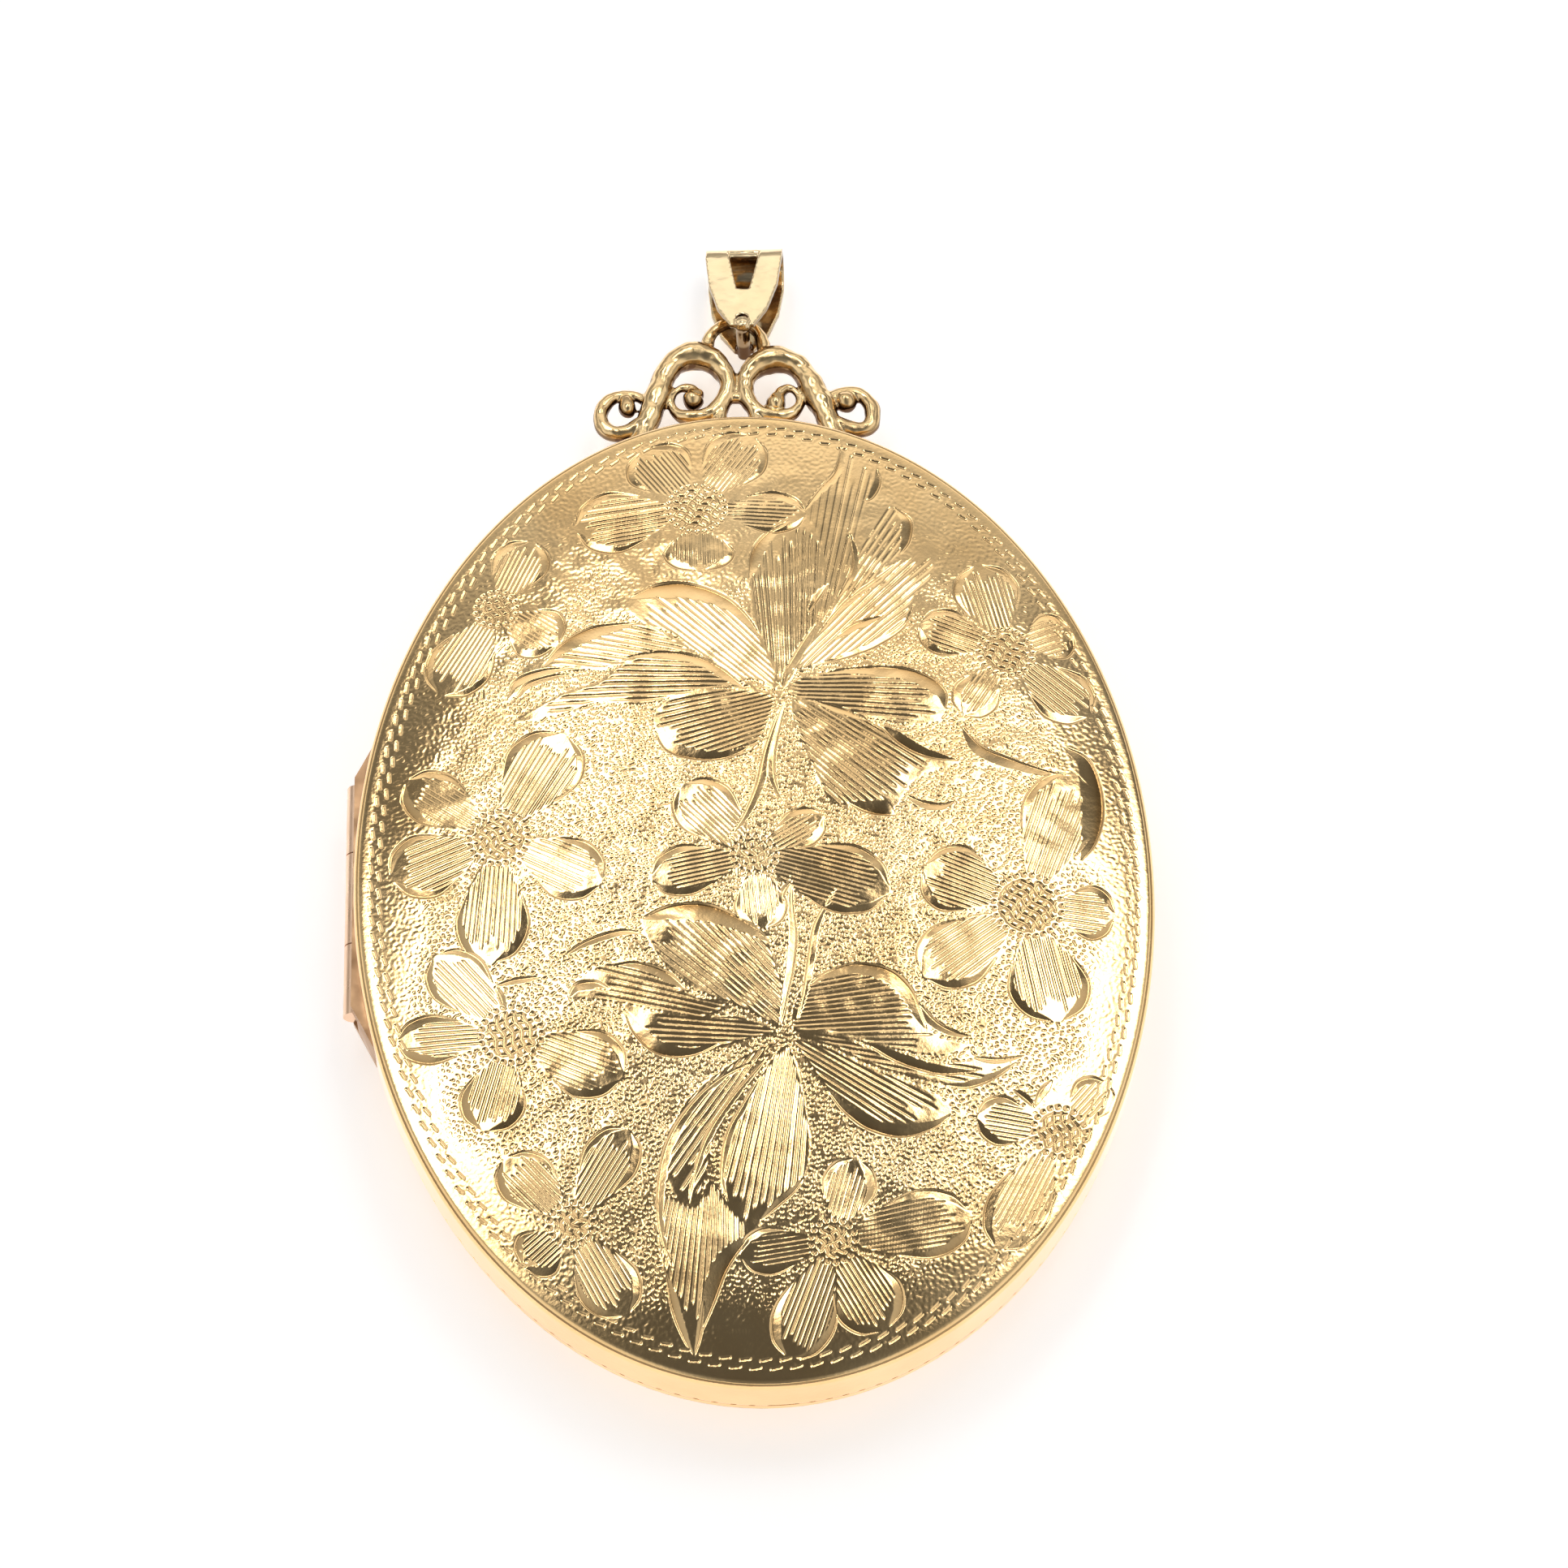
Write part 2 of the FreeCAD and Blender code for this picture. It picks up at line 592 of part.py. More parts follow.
def gallery():
    """Two main scrolls and two side scrolls, with a ball in each, two short legs and the top arch."""
    depth = "2 * sizes.scroll_wire"
    under = "-sizes.scroll_wire"
    case = cover_block("gallery_case", "rear", "0")
    place(case, z="sizes.gallery_drop", turn=HALF_TURN["rear"])
    main_stations = main_scroll_stations()
    side_stations = side_scroll_stations()
    main_wires = []
    for side, sign, beyond_x in (("left", "-", "0"), ("right", "", "-sizes.case_width")):
        if side == "right":
            main_stations = mirrored(main_stations)
            side_stations = mirrored(side_stations)
        main_wire = tapered_wire(f"{side}_main_wire", main_stations)
        side_wire = tapered_wire(f"{side}_side_wire", side_stations)
        beyond_y = f"{HALF_LENGTH} - sizes.scroll_wire"
        across = "sizes.case_width"
        beyond = box(f"{side}_beyond", across, "sizes.case_length", depth, beyond_x, beyond_y, under)
        main_ball = ball(
            f"{side}_main_ball",
            "sizes.scroll_ball",
            f"{sign}sizes.scroll_spread",
            f"{HALF_LENGTH} + sizes.scroll_rise - sizes.scroll_ball_drop",
        )
        side_ball = ball(
            f"{side}_side_ball_whole",
            "sizes.side_ball",
            f"{sign}(sizes.side_spread - sizes.side_ball_shift)",
            f"{HALF_LENGTH} + sizes.side_rise + sizes.side_ball_lift",
        )
        pieces = {
            "scroll": cut(f"{side}_main_cut", main_wire, case, beyond),
            "side_scroll": cut(f"{side}_side_cut", side_wire, case, main_wire),
            "scroll_ball": cut(f"{side}_main_ball_cut", main_ball, main_wire),
            "side_ball": cut(f"{side}_side_ball_cut", side_ball, side_wire, main_wire),
            "scroll_leg": cut(f"{side}_leg_cut", scroll_leg(f"{side}_leg_bar", sign), case, main_wire),
        }
        for piece, made in pieces.items():
            subpart(made, f"{side}_{piece}", z=GALLERY_Z)
        main_wires.append(main_wire)
    arch = cut("arch_cut", tapered_wire("arch_wire", arch_stations()), *main_wires)
    subpart(arch, "top_arch", z=GALLERY_Z)


# The bail. It is drawn about the middle of the arch's wire, on which it swings, with its length along Y.

BAIL_TILTED = f"{turned('Z', '-sizes.bail_yaw')} * {turned('X', f'-{BAIL_TILT}')}"
BAIL_TURN = f"{BAIL_TILTED} * {turned('Y', '-sizes.bail_roll')}"


def bail_piece(made, label):
    """Names a piece of the bail and seats it on the arch."""
    x = f"{CASE_X} + sizes.bail_offset"
    return subpart(made, label, x=x, y=f"{CASE_Y} + {PIVOT_Y}", z=GALLERY_Z, turn=BAIL_TURN)


def leaf_slope():
    """An expression for the angle between a leaf and the bail's middle plane."""
    span = f"sqrt({LEAF_RUN} * {LEAF_RUN} + sizes.bail_mouth * sizes.bail_mouth)"
    return f"(asin(sizes.bail_bend / {span}) - atan(sizes.bail_mouth / {LEAF_RUN}))"


def leaf_strip(name, sign):
    """A flat leaf from the bail's tip up to its bend, on one side of the middle plane."""
    slope = leaf_slope()
    start_y = f"sizes.bail_reach - sizes.bail_bend * sin({slope})"
    start_z = f"sizes.bail_bend * cos({slope})"
    length = f"(({start_y} + sizes.tip_reach) / cos({slope}) + sizes.bail_thickness)"
    strip = new(
        "Part::Box",
        name,
        {"Length": "sizes.bail_width", "Width": length, "Height": "sizes.bail_thickness"},
    )
    lean = turned("X", f"{sign}{slope}")
    middle = f"vector(-sizes.bail_width / 2; -{length}; -sizes.bail_thickness / 2)"
    seat = f"placement(vector(0; {start_y}; {sign}{start_z}); {lean})"
    strip.setExpression("Placement", f"{seat} * placement({middle}; rotation(vector(1; 0; 0); 0))")
    return strip


def bend_strip():
    """The rounded top of the bail."""
    slope = leaf_slope()
    pieces = []
    bend_inside = "sizes.bail_bend - sizes.bail_thickness / 2"
    for name, radius in (("outside", BAIL_BEND_OUT), ("inside", bend_inside)):
        drum = new(
            "Part::Cylinder",
            f"bend_{name}",
            {"Radius": radius, "Height": "sizes.bail_width", "Angle": f"180 deg + 2 * {slope}"},
        )
        turn = f"rotation(vector(0; 1; 0); 90) * rotation(vector(0; 0; 1); -{slope})"
        place(drum, "-sizes.bail_width / 2", "sizes.bail_reach", "0", turn)
        pieces.append(drum)
    return cut("bend", *pieces)


def leaf_outline(name, tip_width, below):
    """The shape that a leaf is trimmed to, seen square on: a taper with a short blunt tip."""
    start = "-sizes.tip_reach"
    half = "(sizes.bail_width / 2)"
    half_tip = f"({tip_width} / 2)"
    swell = f"({half_tip} + ({half} - {half_tip}) * 0.5)"
    wide = f"({half_tip} + ({half} - {half_tip}) * 0.85)"
    top = "sizes.bail_reach + 2 * sizes.bail_bend"
    profile = [(half_tip, start), (swell, f"{start} + {LEAF_RUN} * 0.25")]
    profile.extend([(wide, f"{start} + {LEAF_RUN} * 0.6"), (half, f"{start} + {LEAF_RUN}"), (half, top)])
    corners = profile + [(f"-{x}", y) for x, y in reversed(profile)]
    depth = "2 * sizes.bail_bend"
    return raised(name, outline(f"{name}_outline", corners, z=f"-{depth}" if below else "0"), depth)


def bail():
    """A strip folded into a loop: two tapered leaves, the front one cut through, and a post in their tips."""
    loop = fuse("bail_loop", bend_strip(), leaf_strip("front_leaf", ""), leaf_strip("back_leaf", "-"))
    front = leaf_outline("front_trim", "sizes.front_tip", False)
    back = leaf_outline("back_trim", "sizes.back_tip", True)
    blank = common("bail_blank", loop, fuse("bail_trim", front, back))
    half_top = "sizes.slot_top_width / 2"
    half_foot = "sizes.slot_foot_width / 2"
    corners = [(f"-{half_foot}", "sizes.slot_foot"), (half_foot, "sizes.slot_foot")]
    corners.extend([(half_top, "sizes.slot_top"), (f"-{half_top}", "sizes.slot_top")])
    slot = raised("slot_cutter", outline("slot_outline", corners), "2 * sizes.bail_bend")
    through = {"Radius": "sizes.post_radius", "Height": "4 * sizes.bail_mouth"}
    shaft = new("Part::Cylinder", "post_shaft", through)
    place(shaft, y=f"-{POST_DROP}", z="-2 * sizes.bail_mouth")
    bail_piece(cut("bail_cut", blank, shaft, slot), "bail")
    end = "(sizes.bail_mouth + sizes.bail_thickness / 2 + sizes.post_head)"
    post = new("Part::Cylinder", "post", {"Radius": "sizes.post_radius", "Height": f"2 * {end}"})
    place(post, y=f"-{POST_DROP}", z=f"-{end}")
    doc.recompute()
    domed = new("Part::Fillet", "post_domed", Base=post)
    ends = [number for number, edge in enumerate(post.Shape.Edges, start=1) if edge.Closed]
    domed.Edges = [(number, size("post_head"), size("post_head")) for number in ends]
    bail_piece(domed, "bail_post")


def check():
    """Stops with an error if any object failed or any sub-part has no valid shape."""
    for made in doc.Objects:
        if "Invalid" in made.State or "Error" in made.State:
            raise RuntimeError(f"{made.Name} failed: {made.State}")
    for made in subparts:
        if made.Shape.isNull() or not made.Shape.isValid():
            raise RuntimeError(f"{made.Label} has no valid shape")


def main():
    """Builds every piece, checks it and writes one STEP file for each."""
    front_block = cover_block("front_block", "front", "0")
    OUTSIDE["front"] = rounded_rim("front_rounded", front_block, size("front_wall"))
    OUTSIDE["rear"] = cover_block("rear_block", "rear", "0")
    cover("front", catch_bar("catch_groove_bar", "sizes.catch_groove", "sizes.lip_height / 2"))
    rear_hollow = cover("rear", nail_groove())
    front_bezel()
    rear_bezel(rear_hollow)
    catch_bead()
    photo_layers("front")
    photo_layers("rear")
    hinge()
    gallery()
    bail()
    doc.recompute()
    check()
    os.makedirs("parts", exist_ok=True)
    for made in subparts:
        made.Shape.exportStep(os.path.join("parts", f"{made.Label}.step"))
        print(f"{made.Label:18s} {len(made.Shape.Solids)} solid(s) {made.Shape.Volume:9.3f} mm3")


main()
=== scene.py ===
"""Dresses the locket's solids: an engraved front cover, a worn gallery and bail, window films and gold.

Lengths in this file are in millimetres, and MM turns them into metres where Blender takes them. The engraving
is drawn in the oval's own plane: x to the right and y towards the bail, from the centre of the case.
"""

import math

import bpy
import numpy as np
from mathutils import Euler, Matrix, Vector
from mathutils.bvhtree import BVHTree


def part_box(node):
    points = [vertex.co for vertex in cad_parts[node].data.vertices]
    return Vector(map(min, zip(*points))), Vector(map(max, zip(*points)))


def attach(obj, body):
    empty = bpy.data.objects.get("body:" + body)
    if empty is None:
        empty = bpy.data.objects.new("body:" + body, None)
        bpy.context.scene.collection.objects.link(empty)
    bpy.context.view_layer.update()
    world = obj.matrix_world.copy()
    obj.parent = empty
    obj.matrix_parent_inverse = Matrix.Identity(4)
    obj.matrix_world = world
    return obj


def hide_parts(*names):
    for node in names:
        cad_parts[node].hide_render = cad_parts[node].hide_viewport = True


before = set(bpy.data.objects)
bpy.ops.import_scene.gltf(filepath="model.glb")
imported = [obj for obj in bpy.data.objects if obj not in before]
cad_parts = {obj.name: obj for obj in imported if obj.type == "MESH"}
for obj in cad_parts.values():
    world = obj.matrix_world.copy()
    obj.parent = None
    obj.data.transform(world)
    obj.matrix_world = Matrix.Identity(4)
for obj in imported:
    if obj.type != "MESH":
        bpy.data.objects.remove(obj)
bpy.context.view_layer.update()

MM = 0.001

# The front cover's place and reach, from the frame.

cover_low, cover_high = (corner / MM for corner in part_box("front_cover"))
HALF_WIDTH = (cover_high.x - cover_low.x) / 2
HALF_LENGTH = (cover_high.y - cover_low.y) / 2
CENTRE = Vector(((cover_high.x + cover_low.x) / 2, (cover_high.y + cover_low.y) / 2, 0))
SEAM = cover_low.z
DOME_TOP = cover_high.z

# Sizes of the solids that their boxes don't give.

DOME_RISE = 1.1
DOME_FULLNESS = 2.0
DOME_FLAT = 1 - DOME_RISE / DOME_FULLNESS
RIM_LEVEL = DOME_TOP - DOME_RISE
RIM_ROUND = 0.4
SHEET = 0.4
HINGE_WELL = 0.61
HINGE_HALF = 6.6
BAIL_BEND_OUT = 1.35
BAIL_SHEET = 0.3

# The face's grid and how its maps are read.

RELIEF_PITCH = 0.03
FACE_COLUMNS = 880
FACE_ROWS = 1200
EDGE_EASE = 0.03
CUT_START = 0.004
# The cut depth at which the painted shade in the cuts is full.
CUT_SHADE_DEPTH = 0.08

# Hatching, single cuts and petals.

HATCH_PITCH = 0.21
HATCH_DEPTH = 0.032
LEAF_HATCH_DEPTH = 0.035
GROOVE_SHARE = 0.56
CUT_WALL = 0.09
CUT_DEPTH = 0.05
CUT_STEEPNESS = 0.045
PETAL_CUT = 0.42
PETAL_DEPTH = 0.065

# A flower's centre: its beads and the punch marks round them.

BEAD_PITCH = 0.42
BEAD_DEPTH = 0.055
PUNCH_PITCH = 0.36
PUNCH_RADIUS = 0.1

# The ground: unevenness as (depth, size), and where it stays plain: a margin as (y, width), the top from one
# y to another, and round a place near the bottom.

GROUND_SINK = 0.008
STIPPLE_DEPTH = 0.022
STIPPLE_SIZE = 0.25
SATIN_DEPTH = 0.003
SATIN_SIZE = 0.3
UNEVEN = ((0.009, 1.6), (0.016, 4.0))
PLAIN_MARGIN = ((-20, 3.2), (-10, 2.9), (0, 3.6), (8, 4.4))
PLAIN_TOP = (11.5, 16.5)
PLAIN_PATCH = (-2, -23.5)

# The border's dashes.

BORDER_PACE = 0.95
BORDER_ROWS = (0.85, 1.25)
DASH_HALF_WIDTH = 0.09
DASH_DEPTH = 0.038
DASH_LEAN = 0.18

# Wear, the gallery, and the bail with its rivet, the painted shade on its post's lower end and the bar at its
# slot.

SOFTENING = 3
WIDE_RIPPLE = 1.3
FINE_RIPPLE = 0.45
GALLERY_VOXEL = 0.07
WIRE_WEAR = 1.08
BAIL_VOXEL = 0.05
POST_WEAR = 1.12
POST_SHIFT = 0.3
RIVET_RADIUS = 0.42
RIVET_SINK = 0.3
SHADED_END_RADIUS = 0.5
SHADED_END_RUN = (0.8, 1.5)
SLOT_REACH = 1.0
SLOT_LEANS = (6, 32)

# The windows' films.

FILM_GAP = 0.02
FILM_CROWN = 0.03
FILM_SIDES = 240


# The relief: a height map in the oval's plane, into which the graver's cuts go.


def smoothstep(low, high, value):
    """0 below low, 1 above high and smooth between them."""
    share = np.clip((value - low) / (high - low), 0, 1)
    return share * share * (3 - 2 * share)


def smooth_curve(points, closed=False, steps=10):
    """Points on the smooth curve through a few points."""
    p = np.array(points, float)
    if closed:
        p = np.vstack([p[-1], p, p[0], p[1]])
    else:
        p = np.vstack([2 * p[0] - p[1], p, 2 * p[-1] - p[-2]])
    t = np.linspace(0, 1, steps, endpoint=False)[:, None]
    parts = []
    for a, b, c, d in zip(p[:-3], p[1:-2], p[2:-1], p[3:]):
        square, cube = 2 * a - 5 * b + 4 * c - d, 3 * b - a - 3 * c + d
        parts.append(0.5 * (2 * b + (c - a) * t + square * t**2 + cube * t**3))
    if not closed:
        parts.append(p[-2][None])
    return np.vstack(parts)


class Relief:
    """Maps over the face: cuts, hatching, swell, the figure (petals and leaves) and the matte ground."""

    def __init__(self):
        columns = int(2 * HALF_WIDTH / RELIEF_PITCH) + 5
        rows = int(2 * HALF_LENGTH / RELIEF_PITCH) + 5
        self.x = (np.arange(columns) - columns // 2) * RELIEF_PITCH
        self.y = (np.arange(rows) - rows // 2) * RELIEF_PITCH
        self.cuts, self.lines, self.swell, self.figure, self.matte = np.zeros((5, rows, columns))
        self.random = np.random.default_rng(1901)

    def window(self, points, margin):
        """The rows and columns round some points, and the place of each cell in them."""
        low = np.min(points, axis=0) - margin
        high = np.max(points, axis=0) + margin
        columns = slice(*np.searchsorted(self.x, (low[0], high[0])))
        rows = slice(*np.searchsorted(self.y, (low[1], high[1])))
        x, y = np.meshgrid(self.x[columns], self.y[rows])
        return (rows, columns), x, y

    def nearest(self, curve, x, y):
        """Distance to a curve, the share of its length there, and the side: 1 left of its run, -1 right."""
        distance = np.full(x.shape, 1e9)
        share = np.zeros(x.shape)
        side = np.ones(x.shape)
        steps = np.diff(curve, axis=0)
        lengths = np.hypot(*steps.T)
        run = np.concatenate([[0], np.cumsum(lengths)])
        for start, step, length, before in zip(curve, steps, lengths, run):
            if length < 1e-9:
                continue
            along = np.clip(((x - start[0]) * step[0] + (y - start[1]) * step[1]) / length**2, 0, 1)
            away = np.hypot(x - start[0] - along * step[0], y - start[1] - along * step[1])
            closer = away < distance
            distance = np.where(closer, away, distance)
            share = np.where(closer, (before + along * length) / run[-1], share)
            turn = step[0] * (y - start[1]) - step[1] * (x - start[0])
            side = np.where(closer, np.where(turn >= 0, 1, -1), side)
        return distance, share, side

    def stroke(self, points, width, depth, facet=1, peak=0.5):
        """A graver's cut: a wide facet on one side, a steep wall on the other, and tapered ends."""
        curve = smooth_curve(points)
        where, x, y = self.window(curve, width + 0.2)
        distance, share, side = self.nearest(curve, x, y)
        rise = np.clip(share / peak, 0, 1)
        fall = np.clip((1 - share) / (1 - peak), 0, 1)
        taper = np.sin(np.minimum(rise, fall) * math.pi / 2) ** 0.8
        reach = np.where(side == facet, width, CUT_WALL) * taper + 1e-6
        cut = -depth * taper**0.7 * np.clip(1 - distance / reach, 0, 1)
        self.cuts[where] = np.minimum(self.cuts[where], cut)
        self.figure[where] = np.maximum(self.figure[where], distance < reach)

    def inside(self, outline, x, y):
        """Whether each cell is inside a closed outline."""
        hit = np.zeros(x.shape, bool)
        for a, b in zip(outline, np.roll(outline, -1, axis=0)):
            if a[1] == b[1]:
                continue
            spans = (a[1] > y) != (b[1] > y)
            hit ^= spans & (x < (b[0] - a[0]) * (y - a[1]) / (b[1] - a[1]) + a[0])
        return hit

    def hatch(self, outline, base, tip, end, depth=HATCH_DEPTH, spread=30.0, swell=0.004):
        """Fine cuts from the base towards the tip, within an outline; each has its own length."""
        where, x, y = self.window(outline, 0.2)
        within = self.inside(outline, x, y)
        distance, _, _ = self.nearest(np.vstack([outline, outline[:1]]), x, y)
        base, tip = np.array(base, float), np.array(tip, float)
        length = np.hypot(*(tip - base))
        axis = (tip - base) / length
        along = (x - base[0]) * axis[0] + (y - base[1]) * axis[1]
        across = (y - base[1]) * axis[0] - (x - base[0]) * axis[1]
        fan = across * spread / (spread + along)
        number = np.floor(fan / HATCH_PITCH).astype(int)
        phase = fan / HATCH_PITCH - number
        late, early, strength = self.random.random((3, 64))[:, number % 64]
        first, last = 0.12 * late, end - 0.2 * early
        groove = np.clip(1 - np.abs(2 * phase - 1) / GROOVE_SHARE, 0, 1)
        span = smoothstep(first - 0.04, first + 0.04, along / length)
        span = span * (1 - smoothstep(last, last + 0.06, along / length))
        edge = smoothstep(0.05, 0.2, distance)
        lines = -depth * (0.5 + 0.7 * strength) * groove * span * edge
        self.lines[where] = np.where(within, lines, self.lines[where])
        pillow = swell * smoothstep(0, 1.2, distance)
        self.swell[where] = np.where(within, pillow, self.swell[where])
        self.figure[where] = np.maximum(self.figure[where], within)

    def petal(self, centre, start, tip, half_width):
        """A rounded petal from its flower's centre to its tip: hatched between two crescent cuts."""
        centre, tip = np.array(centre, float), np.array(tip, float)
        reach = np.hypot(*(tip - centre))
        axis = (tip - centre) / reach
        left = np.array([-axis[1], axis[0]])
        base = centre + axis * start
        length = reach - start
        lean = self.random.uniform(-0.08, 0.08)

        def at(along, across):
            return base + axis * along * length + left * (across + lean * along) * half_width

        shape = ((0.02, 0.25), (0.3, 0.72), (0.62, 1.0), (0.88, 0.72), (1.0, 0.12))
        rim = [at(along, across) for along, across in shape]
        other = [at(along, -across) for along, across in reversed(shape)]
        self.hatch(smooth_curve(rim + other, closed=True, steps=8), base, tip, end=0.9)
        ratio = self.random.uniform(0.75, 1.15, 2)
        self.stroke(rim[1:], PETAL_CUT * ratio[0], PETAL_DEPTH, facet=-1, peak=0.6)
        self.stroke(other[:-1], PETAL_CUT * ratio[1], PETAL_DEPTH, facet=-1, peak=0.4)

    def beads(self, centre, radius, turn):
        """A flower's centre: cross-cut into beads, with a ring of punch marks round it."""
        where, x, y = self.window([centre], radius + 0.6)
        x, y = x - centre[0], y - centre[1]
        away = np.hypot(x, y)
        shift = self.random.uniform(0, 6, 2)
        u = (x * math.cos(turn) + y * math.sin(turn)) / BEAD_PITCH
        v = (y * math.cos(turn) - x * math.sin(turn)) / BEAD_PITCH
        u, v = u + 0.18 * np.sin(2.3 * v + shift[0]), v + 0.18 * np.sin(1.9 * u + shift[1])
        grid = np.maximum(np.abs(np.cos(u * math.pi)) ** 6, 0.8 * np.abs(np.cos(v * math.pi)) ** 9)
        crossed = grid * (1 - smoothstep(radius - 0.1, radius + 0.05, away))
        count = max(8, int(2 * math.pi * (radius + 0.2) / PUNCH_PITCH))
        beat = np.abs(np.sin(np.arctan2(y, x) * count / 2))
        ring = np.exp(-(((away - radius - 0.22) / PUNCH_RADIUS) ** 2)) * (1 - beat)
        made = -BEAD_DEPTH * np.maximum(crossed, ring)
        inside = away < radius + 0.35
        self.cuts[where] = np.where(inside, made, self.cuts[where])
        self.lines[where] = np.where(inside, 0, self.lines[where])
        self.figure[where] = np.where(inside, 1, self.figure[where])

    def rim_distance(self):
        """How far each cell is in from the case's outline."""
        x, y = np.meshgrid(self.x, self.y)
        share = np.hypot(x / HALF_WIDTH, y / HALF_LENGTH)
        slope = np.hypot(x / HALF_WIDTH**2, y / HALF_LENGTH**2) / np.maximum(share, 1e-3)
        return (1 - share) / np.maximum(slope, 1e-3), x, y

    def speckle(self, size):
        """Smooth random bumps of about one size, in millimetres, from -1 to 1."""
        noise = self.random.standard_normal(self.cuts.shape)
        rows = np.fft.fftfreq(noise.shape[0], RELIEF_PITCH)[:, None]
        columns = np.fft.rfftfreq(noise.shape[1], RELIEF_PITCH)[None]
        frequency = np.hypot(rows, columns) * size
        band = np.exp(-((frequency - 1) ** 2) / 0.25)
        made = np.fft.irfft2(np.fft.rfft2(noise) * band, s=noise.shape)
        return np.clip(made / (2 * made.std()), -1, 1)

    def matte_ground(self):
        """Sinks the ground between the figures and stipples it, except near the rim and at the top."""
        distance, x, y = self.rim_distance()
        soft = self.figure
        for axis in (0, 1, 0, 1):
            soft = (np.roll(soft, 1, axis) + soft + np.roll(soft, -1, axis)) / 3
        ground = 1 - soft
        margin = np.interp(y, *zip(*PLAIN_MARGIN)) + 1.2 * self.speckle(6.0)
        zone = smoothstep(margin - 1.5, margin + 1.0, distance)
        zone = zone * (1 - smoothstep(*PLAIN_TOP, y + 2 * self.speckle(4.0)))
        off_patch = np.hypot((x - PLAIN_PATCH[0]) / 1.6, y - PLAIN_PATCH[1])
        zone = zone * smoothstep(0.5, 3.5, off_patch)
        marks = smoothstep(0.2, 0.7, self.speckle(STIPPLE_SIZE))
        self.matte = ground * zone
        self.cuts = np.minimum(self.cuts, -self.matte * (GROUND_SINK + STIPPLE_DEPTH * marks))
        self.lines += ground * (1 - zone) * SATIN_DEPTH * self.speckle(SATIN_SIZE)
        calm = smoothstep(1.0, 5.0, distance)
        self.swell += calm * sum(depth * self.speckle(size) for depth, size in UNEVEN)

    def border(self):
        """Two staggered rows of short bright dashes inside the rim."""
        distance, x, y = self.rim_distance()
        angle = np.arctan2(y / HALF_LENGTH, x / HALF_WIDTH)
        steps = np.linspace(-math.pi, math.pi, 2000)
        pace = np.hypot(HALF_WIDTH * np.sin(steps), HALF_LENGTH * np.cos(steps))
        run = np.concatenate([[0], np.cumsum((pace[1:] + pace[:-1]) / 2 * np.diff(steps))])
        length = np.interp(angle, steps, run)
        count = round(run[-1] / BORDER_PACE)
        for row, inset in enumerate(BORDER_ROWS):
            beat = length / run[-1] * count + 0.5 * row
            phase = beat - np.floor(beat) - 0.5
            across = np.abs(distance - inset - DASH_LEAN * phase)
            dash = np.clip(1 - across / DASH_HALF_WIDTH, 0, 1) * smoothstep(0.33, 0.22, np.abs(phase))
            self.cuts = np.minimum(self.cuts, -DASH_DEPTH * dash)


# The engraving's layout: a flower is a centre, the centre's radius, and petals as (tip x, tip y, half width).

FLOWERS = (
    ((-2.3, 20.0), 1.2, ((-4.8, 23.8, 1.7), (0.7, 24.4, 1.6), (3.1, 19.6, 1.2), (-2.3, 16.3, 1.7),
                         (-8.3, 19.1, 1.8))),
    ((-12.2, 14.5), 0.8, ((-10.5, 18.4, 1.4), (-9.3, 12.2, 1.5), (-14.9, 9.8, 1.6))),
    ((12.6, 11.4), 1.1, ((11.5, 16.5, 1.6), (8.5, 13.1, 1.3), (15.9, 12.8, 1.3), (10.3, 7.9, 1.1),
                         (16.4, 7.9, 1.5))),
    ((-12.1, 1.7), 1.2, ((-17.1, -0.3, 1.7), (-16.5, 5.0, 1.4), (-9.0, 7.2, 1.9), (-7.2, -0.9, 1.6),
                         (-12.6, -4.9, 1.7))),
    ((0.0, 0.3), 0.8, ((-4.9, -0.7, 1.3), (-3.4, 4.1, 1.5), (3.3, 2.3, 1.0), (6.3, -1.7, 1.8),
                       (0.3, -3.6, 1.2))),
    ((12.8, -2.5), 1.4, ((8.0, -0.4, 1.8), (7.7, -6.2, 1.7), (13.8, -8.5, 1.9), (16.9, -3.0, 1.4),
                         (15.6, 4.6, 1.8))),
    ((-11.5, -8.6), 1.2, ((-15.1, -4.4, 1.4), (-16.8, -8.7, 1.2), (-12.8, -13.3, 1.5), (-6.4, -11.0, 1.7))),
    ((-8.8, -18.0), 0.8, ((-11.8, -14.7, 1.3), (-6.1, -13.6, 1.3), (-6.5, -22.4, 1.4),
                          (-11.0, -19.9, 1.2))),
    ((3.0, -19.2), 0.8, ((-1.2, -19.8, 1.1), (4.2, -15.3, 1.2), (9.3, -18.0, 1.6), (5.3, -23.3, 1.6),
                         (0.9, -24.6, 1.4))),
    ((13.6, -14.0), 1.0, ((9.8, -13.3, 1.2), (10.5, -19.6, 1.4), (15.9, -11.5, 1.0))),
)


# A leaf is the point that its hatching starts from, the point that it runs to, and its outline.

